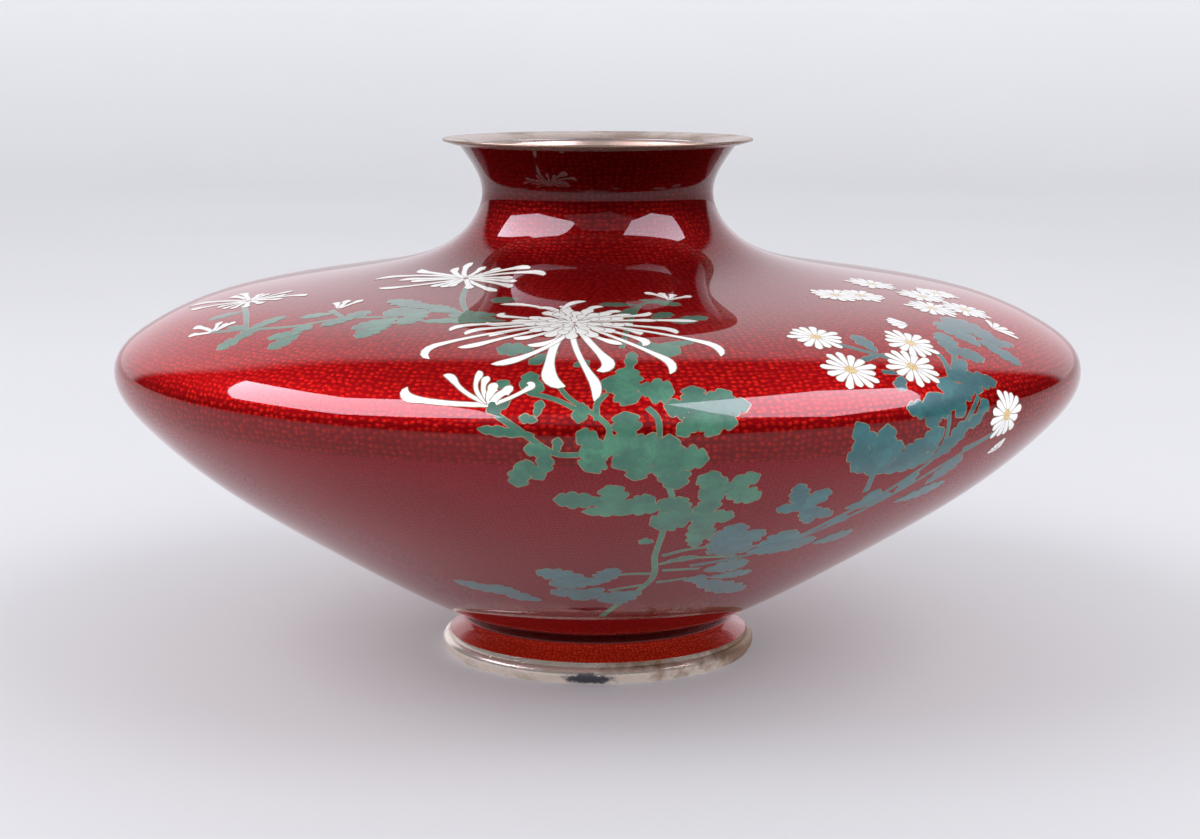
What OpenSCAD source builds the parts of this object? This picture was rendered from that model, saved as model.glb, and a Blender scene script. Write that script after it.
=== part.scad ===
// Cloisonne vase with red foil enamel: a wide flattened globe on a small flared foot,
// with a short waisted neck and a trumpet lip. Copper shells carry silver foil, then
// translucent red enamel; chrysanthemum sprays are enamel cells fenced by silver wire.
//
// Millimetres, +Z up. The origin is the centre of the circle that the foot rests on.
// A place on the skin is [azimuth, rise]: azimuth in degrees from the front (-Y) towards
// the right (+X), and rise in millimetres along the profile, 0 at the widest girth and
// positive towards the mouth. A heading is a compass angle on the skin: 0 to the mouth,
// 90 to the right, 180 to the foot.

/* [Body] */
// Widest diameter of the body
body_d = 240; // [216:1:264]
// Overall height, foot to lip
body_h = 129.7; // [117:0.1:142]
// Facets round the shells
facets = 180; // [60:12:360]

/* [Layers] */
// Thickness of the red enamel
enamel_t = 0.8; // [0.5:0.1:1]
// Thickness of the silver foil under the enamel
foil_t = 0.1; // [0.05:0.01:0.15]
// Thickness of the copper
copper_t = 1.4; // [1:0.1:1.8]
// Thickness of the counter enamel on the inside and under the base
lining_t = 0.5; // [0.3:0.1:0.8]
// Thickness of a film of solder
solder_t = 0.1; // [0.05:0.01:0.15]
// Overlap of the copper shells at a soldered lap
lap = 3; // [2:0.5:4]

/* [Rims] */
// Largest radius of the silver mouth rim
lip_r = 38.7; // [38:0.1:40]
// Depth of the mouth rim's sleeve inside the neck
lip_sleeve = 5; // [3:0.5:8]
// Largest radius of the silver foot rim
foot_r = 39.9; // [39.5:0.1:41]
// Radius of the edge that the foot rests on
rest_r = 38.9; // [38.5:0.1:39.2]
// Radius of the foot rim's rolled bead
foot_bead = 1.95; // [1.8:0.05:2]
// Thickness of a rim's sheet
rim_t = 0.5; // [0.4:0.1:0.8]

/* [Enamel cells] */
// Height of the cells' undersides over the ground
cell_bed = 0.03; // [0.02:0.01:0.1]
// Height of the cells' tops over the ground
cell_top = 0.15; // [0.12:0.01:0.3]
// Width of the silver wire
wire_w = 0.35; // [0.25:0.05:0.5]
// Width of a stem
stem_w = 1.1; // [0.8:0.1:1.6]
// Petals on a daisy
daisy_petals = 13; // [10:1:18]

/* [Hidden] */
$fn = facets;

red = [0.56, 0.04, 0.06];
orange_red = [0.8, 0.25, 0.17];
copper_colour = [0.72, 0.43, 0.28];
silver_colour = [0.8, 0.8, 0.79];
petal_white = [0.95, 0.95, 0.93];
leaf_green = [0.27, 0.5, 0.38];
leaf_teal = [0.16, 0.42, 0.43];
leaf_blue = [0.3, 0.45, 0.48];
centre_yellow = [0.93, 0.8, 0.5];

// ---- The profile ----

// Control points of the outer profile, [radius, height], from the foot to the neck's top
height_scale = body_h / 129.7;
// The neck and foot, within this radius, keep their size when the body widens
core_r = 40;
girth_scale = (body_d / 2 - core_r) / (120 - core_r);
profile_knots = [for (p = [
    [38, 5], [31, 9.5], [42, 13], [75, 33], [99.5, 49], [114.5, 63], [120.5, 71],
    [120, 78.5], [112.5, 84], [98.5, 91], [74, 95], [47, 99], [35.5, 104],
    [29.5, 111], [28, 119], [34.5, 128]
]) [p[0] + max(0, p[0] - core_r) * (girth_scale - 1), p[1] * height_scale]];
// Each end knot is repeated, so that the curve starts and ends on it
knots = concat([profile_knots[0], profile_knots[0]], profile_knots,
    [for (i = [1, 2]) profile_knots[len(profile_knots) - 1]]);
steps = 8;

// Uniform cubic B-spline through four knots from k, at u from 0 to 1
function spline(k, u) = ((1 - u) ^ 3 * knots[k] + (3 * u ^ 3 - 6 * u ^ 2 + 4) * knots[k + 1]
    + (1 + 3 * u + 3 * u ^ 2 - 3 * u ^ 3) * knots[k + 2] + u ^ 3 * knots[k + 3]) / 6;

skin = concat([for (k = [0 : len(knots) - 4], i = [0 : steps - 1]) spline(k, i / steps)],
    [spline(len(knots) - 4, 1)]);
last = len(skin) - 1;

// Length of the profile up to each point, then rise, counted from the widest point
travel = [for (i = 0, d = 0; i <= last;
    i = i + 1, d = d + (i <= last ? norm(skin[i] - skin[i - 1]) : 0)) d];
widest = max([for (p = skin) p[0]]);
girth_travel = [for (i = [0 : last]) if (skin[i][0] == widest) travel[i]][0];
rise = [for (d = travel) d - girth_travel];

// Unit tangent at each point, up the profile
function unit(v) = v / norm(v);
tangent = [for (i = [0 : last]) unit(skin[min(i + 1, last)] - skin[max(i - 1, 0)])];

radius_table = [for (i = [0 : last]) [rise[i], skin[i][0]]];
height_table = [for (i = [0 : last]) [rise[i], skin[i][1]]];
slope_table = [for (i = [0 : last]) [rise[i], tangent[i][0]]];
climb_table = [for (i = [0 : last]) [rise[i], tangent[i][1]]];

// Where the layers start and end, as rises
foot_end = rise[0];
neck_end = rise[last];
// The neck's metal and lining stop short of its enamel, under the mouth rim
core_end = neck_end - 2;
crease = foot_end + 6.6;
shoulder_end = neck_end - 32;

// Depths of the layers below the skin
foil_in = enamel_t;
copper_in = enamel_t + foil_t;
lap_in = copper_in + copper_t / 2;
lining_in = copper_in + copper_t;
inside = lining_in + lining_t;

// [radius, height] at rise s, at depth d below the skin
function below(s, d) = [lookup(s, radius_table) - d * lookup(s, climb_table),
    lookup(s, height_table) + d * lookup(s, slope_table)];

// The profile from rise s0 to s1 at depth d, with the skin's own points between them
function run(s0, s1, d) = concat([below(s0, d)],
    [for (s = rise) if (s > s0 + 0.2 && s < s1 - 0.2) below(s, d)], [below(s1, d)]);
function reversed(list) = [for (i = [len(list) - 1 : -1 : 0]) list[i]];

// Half section of a layer between depths d0 and d1, from rise s0 to s1
module layer_2d(s0, s1, d0, d1) {
    polygon(concat(run(s0, s1, d0), reversed(run(s0, s1, d1))));
}

module layer(s0, s1, d0, d1) {
    rotate_extrude() layer_2d(s0, s1, d0, d1);
}

// ---- Copper shells, lapped and soldered ----

// The bowl's flat base, and where its wall starts above the foot ring
base_z = 9.4 * height_scale;
base_edge_r = 29.5;
bowl_start = crease + 5;
ring_inner_r = 31.6;
// How much smaller each layer's flat is than the one under it
base_step = 0.4;

// Underside of the bowl where its wall turns in to the flat base, from the axis out
function bowl_underside(drop) = [[0, base_z - drop], [base_edge_r, base_z - drop],
    below(bowl_start, copper_in) - [0, drop]];

// Height of that underside at radius r, on its sloping stretch
function underside_z(r, drop) =
    let (edge = bowl_underside(drop)[1], wall = bowl_underside(drop)[2])
    edge[1] + (wall[1] - edge[1]) * (r - edge[0]) / (wall[0] - edge[0]);

module copper_lower_bowl() {
    color(copper_colour) rotate_extrude() union() {
        polygon(concat(bowl_underside(0), run(bowl_start, -lap / 2, copper_in),
            reversed(run(bowl_start, -lap / 2, lining_in)),
            [[base_edge_r - base_step, base_z + copper_t], [0, base_z + copper_t]]));
        layer_2d(-lap, lap / 2 - solder_t, lap_in + solder_t / 2, lining_in);
    }
}

module copper_shoulder() {
    color(copper_colour) rotate_extrude() union() {
        layer_2d(lap / 2, shoulder_end - lap / 2, copper_in, lining_in);
        layer_2d(solder_t - lap / 2, lap, copper_in, lap_in - solder_t / 2);
        layer_2d(shoulder_end - lap, shoulder_end + lap / 2 - solder_t,
            lap_in + solder_t / 2, lining_in);
    }
}

module copper_neck() {
    color(copper_colour) rotate_extrude() union() {
        layer_2d(shoulder_end + lap / 2, core_end, copper_in, lining_in);
        layer_2d(shoulder_end - lap / 2 + solder_t, shoulder_end + lap,
            copper_in, lap_in - solder_t / 2);
    }
}

// Flared ring under the bowl
module copper_foot_ring() {
    color(copper_colour) rotate_extrude() polygon(concat(
        run(foot_end, bowl_start - 1, copper_in),
        [[ring_inner_r, underside_z(ring_inner_r, solder_t)]],
        [below(crease - 1, lining_in), below((crease + foot_end) / 2, lining_in),
            below(foot_end, lining_in)]));
}

// Z-shaped film of solder in a lap at rise s
module lap_solder(s) {
    color(silver_colour) rotate_extrude() union() {
        layer_2d(s - lap / 2, s + lap / 2, lap_in - solder_t / 2, lap_in + solder_t / 2);
        layer_2d(s - lap / 2, s - lap / 2 + solder_t, copper_in, lap_in);
        layer_2d(s + lap / 2 - solder_t, s + lap / 2, lap_in, lining_in);
    }
}

module girth_solder() {
    lap_solder(0);
}

module neck_solder() {
    lap_solder(shoulder_end);
}

// Film between the foot ring and the bowl
module foot_solder() {
    outer = below(bowl_start - 1, copper_in);
    color(silver_colour) rotate_extrude() polygon([
        [ring_inner_r, underside_z(ring_inner_r, 0)],
        [ring_inner_r, underside_z(ring_inner_r, solder_t)],
        outer,
        [outer[0], underside_z(outer[0], 0)]]);
}

// ---- Foil and enamel ----

module silver_foil_belly() {
    color(silver_colour) layer(crease, 0, foil_in, copper_in);
}

module silver_foil_shoulder() {
    color(silver_colour) layer(0, shoulder_end, foil_in, copper_in);
}

module silver_foil_neck() {
    color(silver_colour) layer(shoulder_end, core_end, foil_in, copper_in);
}

module silver_foil_foot() {
    color(silver_colour) layer(foot_end, crease, foil_in, copper_in);
}

module red_enamel_body() {
    color(red) layer(crease, neck_end, 0, foil_in);
}

module red_enamel_foot() {
    color(orange_red) layer(foot_end, crease, 0, foil_in);
}

// Glassy lining of the whole inside
module counter_enamel_inside() {
    floor_z = base_z + copper_t;
    color([0.32, 0.36, 0.5]) rotate_extrude() polygon(concat(
        [[0, floor_z], [base_edge_r - base_step, floor_z]],
        run(bowl_start, core_end, lining_in),
        reversed(run(bowl_start, core_end, inside)),
        [[base_edge_r - 1.5 * base_step, floor_z + lining_t], [0, floor_z + lining_t]]));
}

// Enamel under the base, inside the foot ring
module counter_enamel_base() {
    color([0.32, 0.36, 0.5]) translate([0, 0, base_z - lining_t])
        cylinder(r = base_edge_r, h = lining_t);
}

// ---- Silver rims ----

// Points of an arc about centre c, from angle a0 to a1
function arc(c, r, a0, a1, n) = [for (i = [0 : n]) let (a = a0 + (a1 - a0) * i / n)
    c + r * [cos(a), sin(a)]];

// Trumpet lip: it seats on the neck's edge and has a sleeve down the inside
module silver_mouth_rim() {
    seat = below(neck_end, 0);
    sleeve_end = neck_end - lip_sleeve;
    sleeve_top = neck_end - 3;
    bead = rim_t * 0.7;
    bead_centre = [lip_r - bead, body_h - bead];
    trumpet = [[lip_r - 2.7, body_h - 0.35], [lip_r - 5.2, body_h - 0.8],
        [lip_r - 6.9, body_h - 1.4]];
    color(silver_colour) rotate_extrude() polygon(concat(
        [seat, [seat[0] + 1.5, seat[1] + 0.3]],
        arc(bead_centre, bead, -70, 110, 8), trumpet,
        reversed(run(sleeve_end, sleeve_top, inside + rim_t)),
        run(sleeve_end, core_end, inside), run(core_end, neck_end, foil_in)));
}

// Rolled bead under the foot ring's edge
module silver_foot_rim() {
    seat_out = below(foot_end, 0);
    seat_in = below(foot_end, lining_in);
    bead_centre = [foot_r - foot_bead, foot_bead + 0.2];
    color(silver_colour) rotate_extrude() polygon(concat(
        [seat_in, [rest_r - 2.5, 0.4], [rest_r - 2.1, 0], [rest_r, 0]],
        arc(bead_centre, foot_bead, -45, 75, 10), [seat_out]));
}

// ---- Drawing on the skin ----

// Point at [azimuth, rise], lifted off the skin
function on_skin(azimuth, s, lift) = let (p = below(s, -lift))
    [p[0] * sin(azimuth), -p[0] * cos(azimuth), p[1]];

// Walks a distance from [azimuth, rise] at a heading, in n straight steps over the skin
function walk(azimuth, s, heading, distance, n = 8) = n == 0 ? [azimuth, s, heading] :
    let (step = distance / n, r = lookup(s, radius_table),
        turn = step * sin(heading) / r * 180 / PI)
    walk(azimuth + turn, s + step * cos(heading),
        heading - turn * lookup(s, slope_table), distance - step, n - 1);

// Point [ahead, aside] as seen from a place [azimuth, rise, heading], lifted off the skin
function draw(place, point, lift) =
    let (end = walk(place[0], place[1], place[2] + atan2(point[1], point[0]), norm(point)))
    on_skin(end[0], end[1], lift);

// Closed tile over a grid of rows of [ahead, aside] points, lifted further off the skin
module tile(place, rows, lift = 0) {
    n = len(rows);
    m = len(rows[0]);
    flat = [for (row = rows, p = row) p];
    shell(n, m, [for (p = flat) draw(place, p, cell_top + lift)],
        [for (p = flat) draw(place, p, cell_bed + lift)]);
}

// Closed solid between two grids of n rows of m points, top over bed
module shell(n, m, top, bed) {
    size = n * m;
    last_row = size - m;
    grid = [for (i = [0 : n - 2], j = [0 : m - 2]) let (a = i * m + j, b = a + m)
        each [[a, b, a + 1], [a + 1, b, b + 1]]];
    left = [for (i = [0 : n - 2]) let (a = i * m, b = a + m)
        each [[a, a + size, b], [b, a + size, b + size]]];
    right = [for (i = [1 : n - 1]) let (a = i * m - 1, b = a + m)
        each [[a, b, a + size], [b, b + size, a + size]]];
    ends = [for (j = [0 : m - 2]) let (a = j, b = last_row + j)
        each [[a, a + 1, a + size], [a + 1, a + 1 + size, a + size],
        [b, b + size, b + 1], [b + 1, b + size, b + 1 + size]]];
    under = [for (f = grid) [f[0] + size, f[2] + size, f[1] + size]];
    polyhedron(points = concat(top, bed), faces = concat(grid, under, left, right, ends));
}

// ---- Leaves ----

// Half width of a lobe of length 1 and width 1, at t from its inner end to its tip
function blade(t) = sin(180 * t ^ 1.2) ^ 0.6 / 2;

// Rows across a lobe, inner end first. A wide lobe is bent along its middle, over the skin.
function lobe_rows(length, width, n) = [for (i = [0 : n])
    let (t = 0.04 + 0.92 * i / n, half = width * blade(t))
    [for (side = width > flat_w ? [-1, 0, 1] : [-1, 1]) [length * t, half * side]]];

// Silver wire along the right edge of a lobe
function lobe_wire_rows(length, width, n) =
    [for (row = lobe_rows(length, width, n)) let (edge = row[len(row) - 1])
    [edge + [0, wire_gap], edge + [0, wire_gap + wire_w]]];

// A leaf is drawn as lobes, each [azimuth, rise, heading, length, width] from its inner end
module lobes(list) {
    for (leaf = list)
        tile([leaf[0], leaf[1], leaf[2]], lobe_rows(leaf[3], leaf[4], lobe_steps));
}

module lobe_wires(list) {
    for (leaf = list) if (leaf[3] > wired_from)
        tile([leaf[0], leaf[1], leaf[2]], lobe_wire_rows(leaf[3], leaf[4], lobe_steps));
}

lobe_steps = 3;
// Widest lobe that can stay flat across
flat_w = 5;
// Longest lobe that goes without a wire
wired_from = 6;
// Between a cell and its wire
wire_gap = 0.02;

front_lobes = [
    // Behind and beside the spider chrysanthemum's low petals
    [-9, 11.5, -45, 4.5, 3], [-7, 11, -5, 7, 4], [-8, 13.5, 105, 5, 4], [-2.5, 20.5, 55, 3.5, 2.5],
    [7, 26.5, -25, 5.5, 4], [6, 29.5, 120, 8, 6.5], [7.5, 29, 75, 8.5, 2.5], [-8, 27, -85, 7.5, 6],
    [-5, 26, -135, 7, 3.5], [3.5, 18.5, 10, 8, 2.5], [3, 10, 5, 10, 6], [3, 12.5, -60, 5.5, 5.5],
    [2, 13, 140, 6, 6], [4.5, 12.5, 100, 7, 7.5],
    // Right of them, over the girth
    [10, 6.5, 0, 6.5, 5.5], [10.5, 7, 60, 8, 4.5], [10, 6.5, 85, 11.5, 5],
    [9.5, 5.5, 105, 9.5, 4.5], [10, 6, 140, 6.5, 5.5], [10.5, 5.5, -75, 8, 5],
    [10.5, 5, -125, 7, 3.5],
    // Under the profile flower
    [-9, 8.5, -125, 5, 3.5], [-6, 5, 10, 4, 2], [-6, 4, -80, 3.5, 2], [-6.5, 1, -85, 11, 2],
    [-4, -2.5, 10, 3, 2], [-4.5, -2.5, -85, 5.5, 3], [-5, -2, -175, 6, 3.5],
    [-7.5, -5.5, -168, 7.5, 4.5], [-7, -5, 150, 6, 3.5], [-1.5, 8, -170, 4.5, 3],
    [-2, 6.5, 105, 2.5, 3],
    // Middle of the belly
    [0.5, -1.5, -60, 6, 4], [0.5, -2.5, -145, 6, 6], [1.5, -2, -100, 7, 5], [3, 0, -5, 6, 6],
    [4.5, -2, -80, 8.5, 5], [4.5, -2, -125, 7.5, 4.5], [4.5, -2, -170, 8.5, 5.5],
    [3.5, 0, 120, 6.5, 6.5], [7, -6, 0, 7, 5], [6.5, -4, 95, 9.5, 6], [7, -3, 165, 11, 6.5],
    [9.5, -4.5, -95, 8.5, 8.5], [14, -14, -60, 8.5, 5.5], [14, -13.5, -125, 7, 6.5],
    [13.5, -14, 60, 8, 5], [13.5, -14, 120, 10, 6], [13, -16, -20, 8.5, 4],
    [12, -15, 160, 7.5, 3.5],
    // Low on the belly
    [0.5, -17.5, -90, 10, 6], [2.5, -19.5, -20, 8, 6], [6.5, -20, -100, 15.5, 4.5],
    [3.5, -19.5, 60, 6, 5], [0, -19, 100, 13.5, 6], [10.5, -23, -55, 9, 6],
    [11, -24, -115, 9.5, 9], [10, -23.5, -20, 7.5, 4], [11.5, -25.5, 15, 8, 5],
    [11.5, -23, 160, 13.5, 4.5], [11.5, -25.5, 170, 14.5, 4], [12, -24.5, 100, 7.5, 5.5],
    [7, -36, -75, 3, 3], [10.5, -47, 75, 6, 3]
];

low_lobes = [
    [-1.5, -59, -65, 12.5, 8], [-0.5, -61.5, 25, 11.5, 5.5], [0.5, -58, -115, 12.5, 7.5],
    [-3, -66, -115, 7.5, 6], [0.5, -64.5, -145, 10.5, 6.5], [7.5, -67.5, -130, 10.5, 9],
    [-16, -70.5, -70, 14.5, 6], [-15, -72, -40, 9, 6], [-12, -74, -65, 8, 6],
    [16, -43.5, 10, 15, 8], [16.5, -43, 40, 13, 8], [15.5, -42.5, 90, 10, 7],
    [17.5, -54.5, 70, 9.5, 8], [19.5, -59.5, 85, 9.5, 5], [17, -61, 130, 20.5, 7],
    [15, -60.5, 80, 5, 4.5]
];

right_lobes = [
    // Along the low branch
    [23.5, -44.5, 25, 11, 8], [24.5, -45.5, 70, 12, 7], [22, -44.5, 85, 10.5, 7],
    [24.5, -25, -25, 12, 4.5], [24.5, -24, -85, 6.5, 4], [25, -24.5, 15, 8, 5.5],
    [24.5, -24, 120, 11, 4], [31, -33.5, 45, 4.5, 4], [32.5, -43.5, 70, 9, 6],
    [31.5, -26, 75, 10.5, 5], [33.5, -25.5, 5, 6, 4], [42, -20, 25, 9.5, 6],
    [37.5, -22, 5, 7.5, 4], [39.5, -26.5, 70, 12.5, 5],
    // Under the daisies
    [30.5, -12.5, -30, 16, 6], [30.5, -10.5, 0, 11, 6], [30.5, -10.5, -60, 10, 4.5],
    [30.5, -11.5, -75, 6.5, 3], [29.5, -9.5, 65, 6, 5], [30.5, -12.5, -10, 11, 6.5],
    [31, -12, 20, 9, 6], [33, -11.5, 40, 9.5, 6], [33.5, -10.5, 50, 13, 6],
    [31.5, -12.5, 80, 14.5, 5], [39, -10, 30, 5.5, 5], [39.5, -8.5, 30, 8.5, 5],
    [38, -8.5, -20, 8, 4],
    // Among the daisies
    [37.5, 1.5, -15, 5, 6.5], [37.5, 2, -80, 9, 4], [37.5, 2.5, -130, 5, 5.5],
    [36, 2.5, 95, 6.5, 4], [39.5, 3.5, 25, 7, 6], [39.5, 3.5, 70, 9.5, 4.5],
    [40, 4, 150, 4.5, 4], [39.5, 5.5, -155, 4, 4.5], [41.5, 9.5, 100, 14, 5],
    [42.5, 9.5, 130, 7, 4.5], [35, 11.5, -135, 5, 3], [35, 21.5, 0, 8, 4],
    [46, 16.5, 35, 11, 5.5], [46.5, 18, 120, 8.5, 5.5], [52.5, 18.5, 5, 12, 8],
    [57.5, 17.5, -10, 14.5, 10], [54, 19, 160, 10.5, 5.5], [43.5, 0, 55, 4.5, 3],
    [41.5, -2.5, 70, 6, 3]
];

rear_lobes = [
    // Left of the body
    [-50.5, 23.5, -170, 7, 5], [-51.5, 29.5, 165, 8, 5], [-51.5, 25.5, 5, 10, 4.5],
    [-62, 32.5, -145, 8, 4], [-51.5, 26, -90, 9, 2.5], [-42, 28, -120, 7.5, 4],
    [-41.5, 26.5, -160, 7, 5], [-43.5, 28.5, 20, 4.5, 5],
    // Between the side chrysanthemum and the rear one
    [-39, 42.5, -165, 10, 5], [-39.5, 38.5, 5, 7, 5], [-44, 41, -130, 7.5, 4],
    [-32.5, 41.5, -155, 9.5, 5], [-32, 40.5, 180, 12, 6], [-32, 42, -175, 9.5, 6.5],
    [-29.5, 48.5, -105, 9.5, 8], [-29, 48, 180, 10, 6], [-29.5, 51, -70, 15.5, 5.5],
    [-17, 48.5, -95, 10, 6], [-15, 44.5, -95, 17.5, 4], [-16, 62, -105, 6, 5],
    [-23.5, 49.5, -70, 12, 5],
    // Right of the spider chrysanthemum
    [7, 58, -80, 8, 3], [6, 55, -160, 8, 4], [9, 62, 120, 9, 4], [9, 47, 45, 6, 4],
    [12, 45, 75, 8, 4], [16, 46, -110, 7, 4]
];

slim_lobes = [
    [24, -21.5, 150, 12, 3.5], [35.5, 20, -100, 9, 1.5], [41.5, 9, 60, 11.5, 3.5],
    [54, 19, 105, 11.5, 3.5]
];

module front_leaves() {
    color(leaf_green) lobes(front_lobes);
}

module front_leaf_wires() {
    color(silver_colour) lobe_wires(front_lobes);
}

module low_leaves() {
    color(leaf_blue) lobes(low_lobes);
}

module low_leaf_wires() {
    color(silver_colour) lobe_wires(low_lobes);
}

module right_leaves() {
    color(leaf_teal) lobes(right_lobes);
}

module right_leaf_wires() {
    color(silver_colour) lobe_wires(right_lobes);
}

module rear_leaves() {
    color(leaf_green) lobes(rear_lobes);
}

module rear_leaf_wires() {
    color(silver_colour) lobe_wires(rear_lobes);
}

module slim_leaves() {
    color(leaf_teal) lobes(slim_lobes);
}

// ---- Stems ----

// Strip of enamel along a path of [azimuth, rise] places
module stem(path) {
    n = len(path);
    across = [for (i = [0 : n - 1])
        let (a = path[max(i - 1, 0)], b = path[min(i + 1, n - 1)],
            r = lookup(path[i][1], radius_table))
        atan2((b[0] - a[0]) * PI / 180 * r, b[1] - a[1]) + 90];
    edges = [for (i = [0 : n - 1], side = [-1, 1])
        walk(path[i][0], path[i][1], across[i] + (side < 0 ? 180 : 0), stem_w / 2, 1)];
    shell(n, 2, [for (e = edges) on_skin(e[0], e[1], cell_top)],
        [for (e = edges) on_skin(e[0], e[1], cell_bed)]);
}

// A path of places made smooth: n points on each span, by a spline through them
function through(path, k, u) =
    let (p0 = path[max(k - 1, 0)], p1 = path[k], p2 = path[k + 1],
        p3 = path[min(k + 2, len(path) - 1)])
    p1 + u * ((p2 - p0) / 2 + u * ((2 * p0 - 5 * p1 + 4 * p2 - p3) / 2
        + u * (3 * p1 - p0 - 3 * p2 + p3) / 2));

function smooth(path, n) = concat([for (k = [0 : len(path) - 2], i = [0 : n - 1])
    through(path, k, i / n)], [path[len(path) - 1]]);

front_stem_paths = [
    [[1, -86], [7, -68], [9, -57], [8, -44], [8, -31], [8, -16], [5, -6], [1, -2], [1, 3],
     [-3, 10], [-5, 18]],
    [[9, -55], [4, -55], [0, -59]],
    [[9, -62], [5, -64], [2, -66]],
    [[9, -44], [12, -41], [15, -40]],
    [[9, -49], [14, -46], [21, -47]],
    [[10, -53], [13, -53], [16, -53]],
    [[10, -61], [13, -60], [15, -59]],
    [[-7, 11], [-4, 9], [-1, 5]],
    [[-10, 5], [-7, 1], [-4, -3], [-1, -3]],
    [[5, 7], [6, 4], [6, -2]],
    [[0, 4], [0, 8], [1, 11]]
];

right_stem_paths = [
    [[20, -42], [27, -39], [31, -31], [35, -22], [38, -14], [40, -6], [42, 0], [44, 4]],
    [[14, -51], [23, -46], [31, -35], [38, -21], [43, -11], [48, -5]],
    [[32, -20], [31, -12], [31, -9]],
    [[31, 26], [34, 21], [36, 18]],
    [[33, 14], [35, 13], [37, 12]],
    [[44, 19], [43, 14], [41, 8], [39, 2], [39, -6]],
    [[48, -5], [46, -7], [43, -9]],
    [[42, 10], [44, 13], [47, 18]]
];

rear_stem_paths = [
    [[-52, 26], [-45, 31], [-40, 39], [-33, 43], [-27, 49], [-16, 46]],
    [[-32, 71], [-27, 60], [-22, 50]],
    [[-67, 36], [-59, 32], [-52, 26]],
    [[-58, 22], [-55, 24], [-52, 26]],
    [[13, 61], [8, 58], [5, 45], [3, 28]],
    [[-46, 43], [-43, 41], [-40, 39]]
];

module stems(paths) {
    for (path = paths) stem(smooth(path, 2));
}

module front_stems() {
    color(leaf_green) stems(front_stem_paths);
}

module right_stems() {
    color(leaf_teal) stems(right_stem_paths);
}

module rear_stems() {
    color(leaf_green) stems(rear_stem_paths);
}

// ---- Chrysanthemums ----

// A petal is [heading, reach, bend, curl, width factor], the last left out if it is 1. It
// bends evenly on its way out by bend degrees, and its tip curls by curl degrees more.
curl_from = 0.76;

// Heading of a petal at t along it
function petal_heading(petal, t) = petal[0] + petal[2] * (t - 0.42)
    + petal[3] * (max(0, t - curl_from) / (1 - curl_from)) ^ 1.2;

// Points [ahead, aside] along the middle of a petal, as seen from the flower's centre
function petal_spine(petal, root, n) = let (step = (petal[1] - root) / n)
    [for (i = 0, p = root * way(petal_heading(petal, 0)); i <= n;
        i = i + 1, p = p + step * way(petal_heading(petal, (i - 0.5) / n))) p];

function way(heading) = [cos(heading), sin(heading)];

// Half width at t along a petal of width 1, with its swollen tip
function petal_half(t) = (0.5 + 0.12 * t + 0.45 * exp(-((t - 0.85) / 0.13) ^ 2)) / 2
    * (t < 1 ? 1 : 0.6);

function petal_rows(petal, width, root, n) =
    let (spine = petal_spine(petal, root, n), own = is_undef(petal[4]) ? 1 : petal[4])
    [for (i = [0 : n])
        let (side = width * own * petal_half(i / n)
            * way(petal_heading(petal, min(i / n, 0.92)) + 90))
        [spine[i] - side, spine[i] + side]];

// Silver wire down one side of a petal
function petal_wire_rows(petal, width, root, n) =
    [for (row = petal_rows(petal, width, root, n)) let (out = unit(row[1] - row[0]))
    [row[1] + wire_gap * out, row[1] + (wire_w + wire_gap) * out]];

// The petals of a flower at place, from their roots out
module petals(place, list, width, root, n = 4) {
    for (petal = list) tile(place, petal_rows(petal, width, root, n));
}

module petal_wires(place, list, width, root, n = 4) {
    for (petal = list) tile(place, petal_wire_rows(petal, width, root, n));
}

spider_mum = [-3.4, 44, 0];
spider_w = 1.95;
spider_heart_r = 9;
spider_petals = [
    [-47, 25, -60, -20], [-35, 16, -50, -70], [-72, 20, 0, 150], [-15, 14, -20, -70],
    [2, 20, 80, 50], [20, 15, 40, 70], [45, 14, 40, 40], [66, 19, 10, -90], [60, 14, 20, 20],
    [81, 27, 8, 0], [80, 18, 6, 10], [-84, 14, -10, -20], [93, 13, 0, 60],
    [-92, 28.5, -6, -90], [-93, 20, 0, 80], [-101, 25, 0, -80], [98, 24, 6, 80],
    [-113, 20, 0, -50], [109, 37.5, 4, 90], [-113, 38.5, -4, -130], [-123, 28, 10, 30],
    [113, 17, 20, 60], [124, 22, 0, 110], [132, 34, -14, 90], [-147, 30, 70, 20, 1.1],
    [-132, 17, 40, 50], [157, 28, -20, 130, 1.4], [140, 18, -50, 0],
    [-174, 33, -24, -80, 1.6], [166, 36, -34, 55, 1.1], [-150, 19, 70, 50]
];

module spider_mum_petals() {
    color(petal_white) petals(spider_mum, spider_petals, spider_w, spider_heart_r);
}

module spider_mum_wires() {
    color(silver_colour) petal_wires(spider_mum, spider_petals, spider_w, spider_heart_r);
}

// Incurved tuft: two rings of short petals, [count, reach, root]
heart_rings = [[16, 8.6, 4.6], [8, 4.3, 1.4]];

module spider_mum_heart() {
    color(petal_white) for (ring = heart_rings, k = [1 : ring[0]])
        petals(spider_mum, [[360 * k / ring[0], ring[1], 0, 0]], 2.2, ring[2], 2);
}

rear_mum = [-36.8, 76, 0];
rear_petals = [
    [-155, 9, 0, 0], [-128, 21, 20, 40], [-110, 14, 0, 30], [-100, 18, 0, -50],
    [-92, 27, -20, -60], [-78, 20, 0, 60], [-54, 11, 40, 60], [-35, 12, 30, 60],
    [-5, 8, 0, 60], [28, 9, 0, -60], [44, 16, 30, 60], [59, 20, 20, 80], [72, 12, 0, 40],
    [84, 14, 0, -40], [96, 16, 0, 60], [115, 16, -20, 0], [135, 10, 0, 40], [172, 7, 0, 0],
    [-175, 8, 0, 0]
];

module rear_mum_petals() {
    color(petal_white) petals(rear_mum, rear_petals, 2.1, 2);
}

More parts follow.
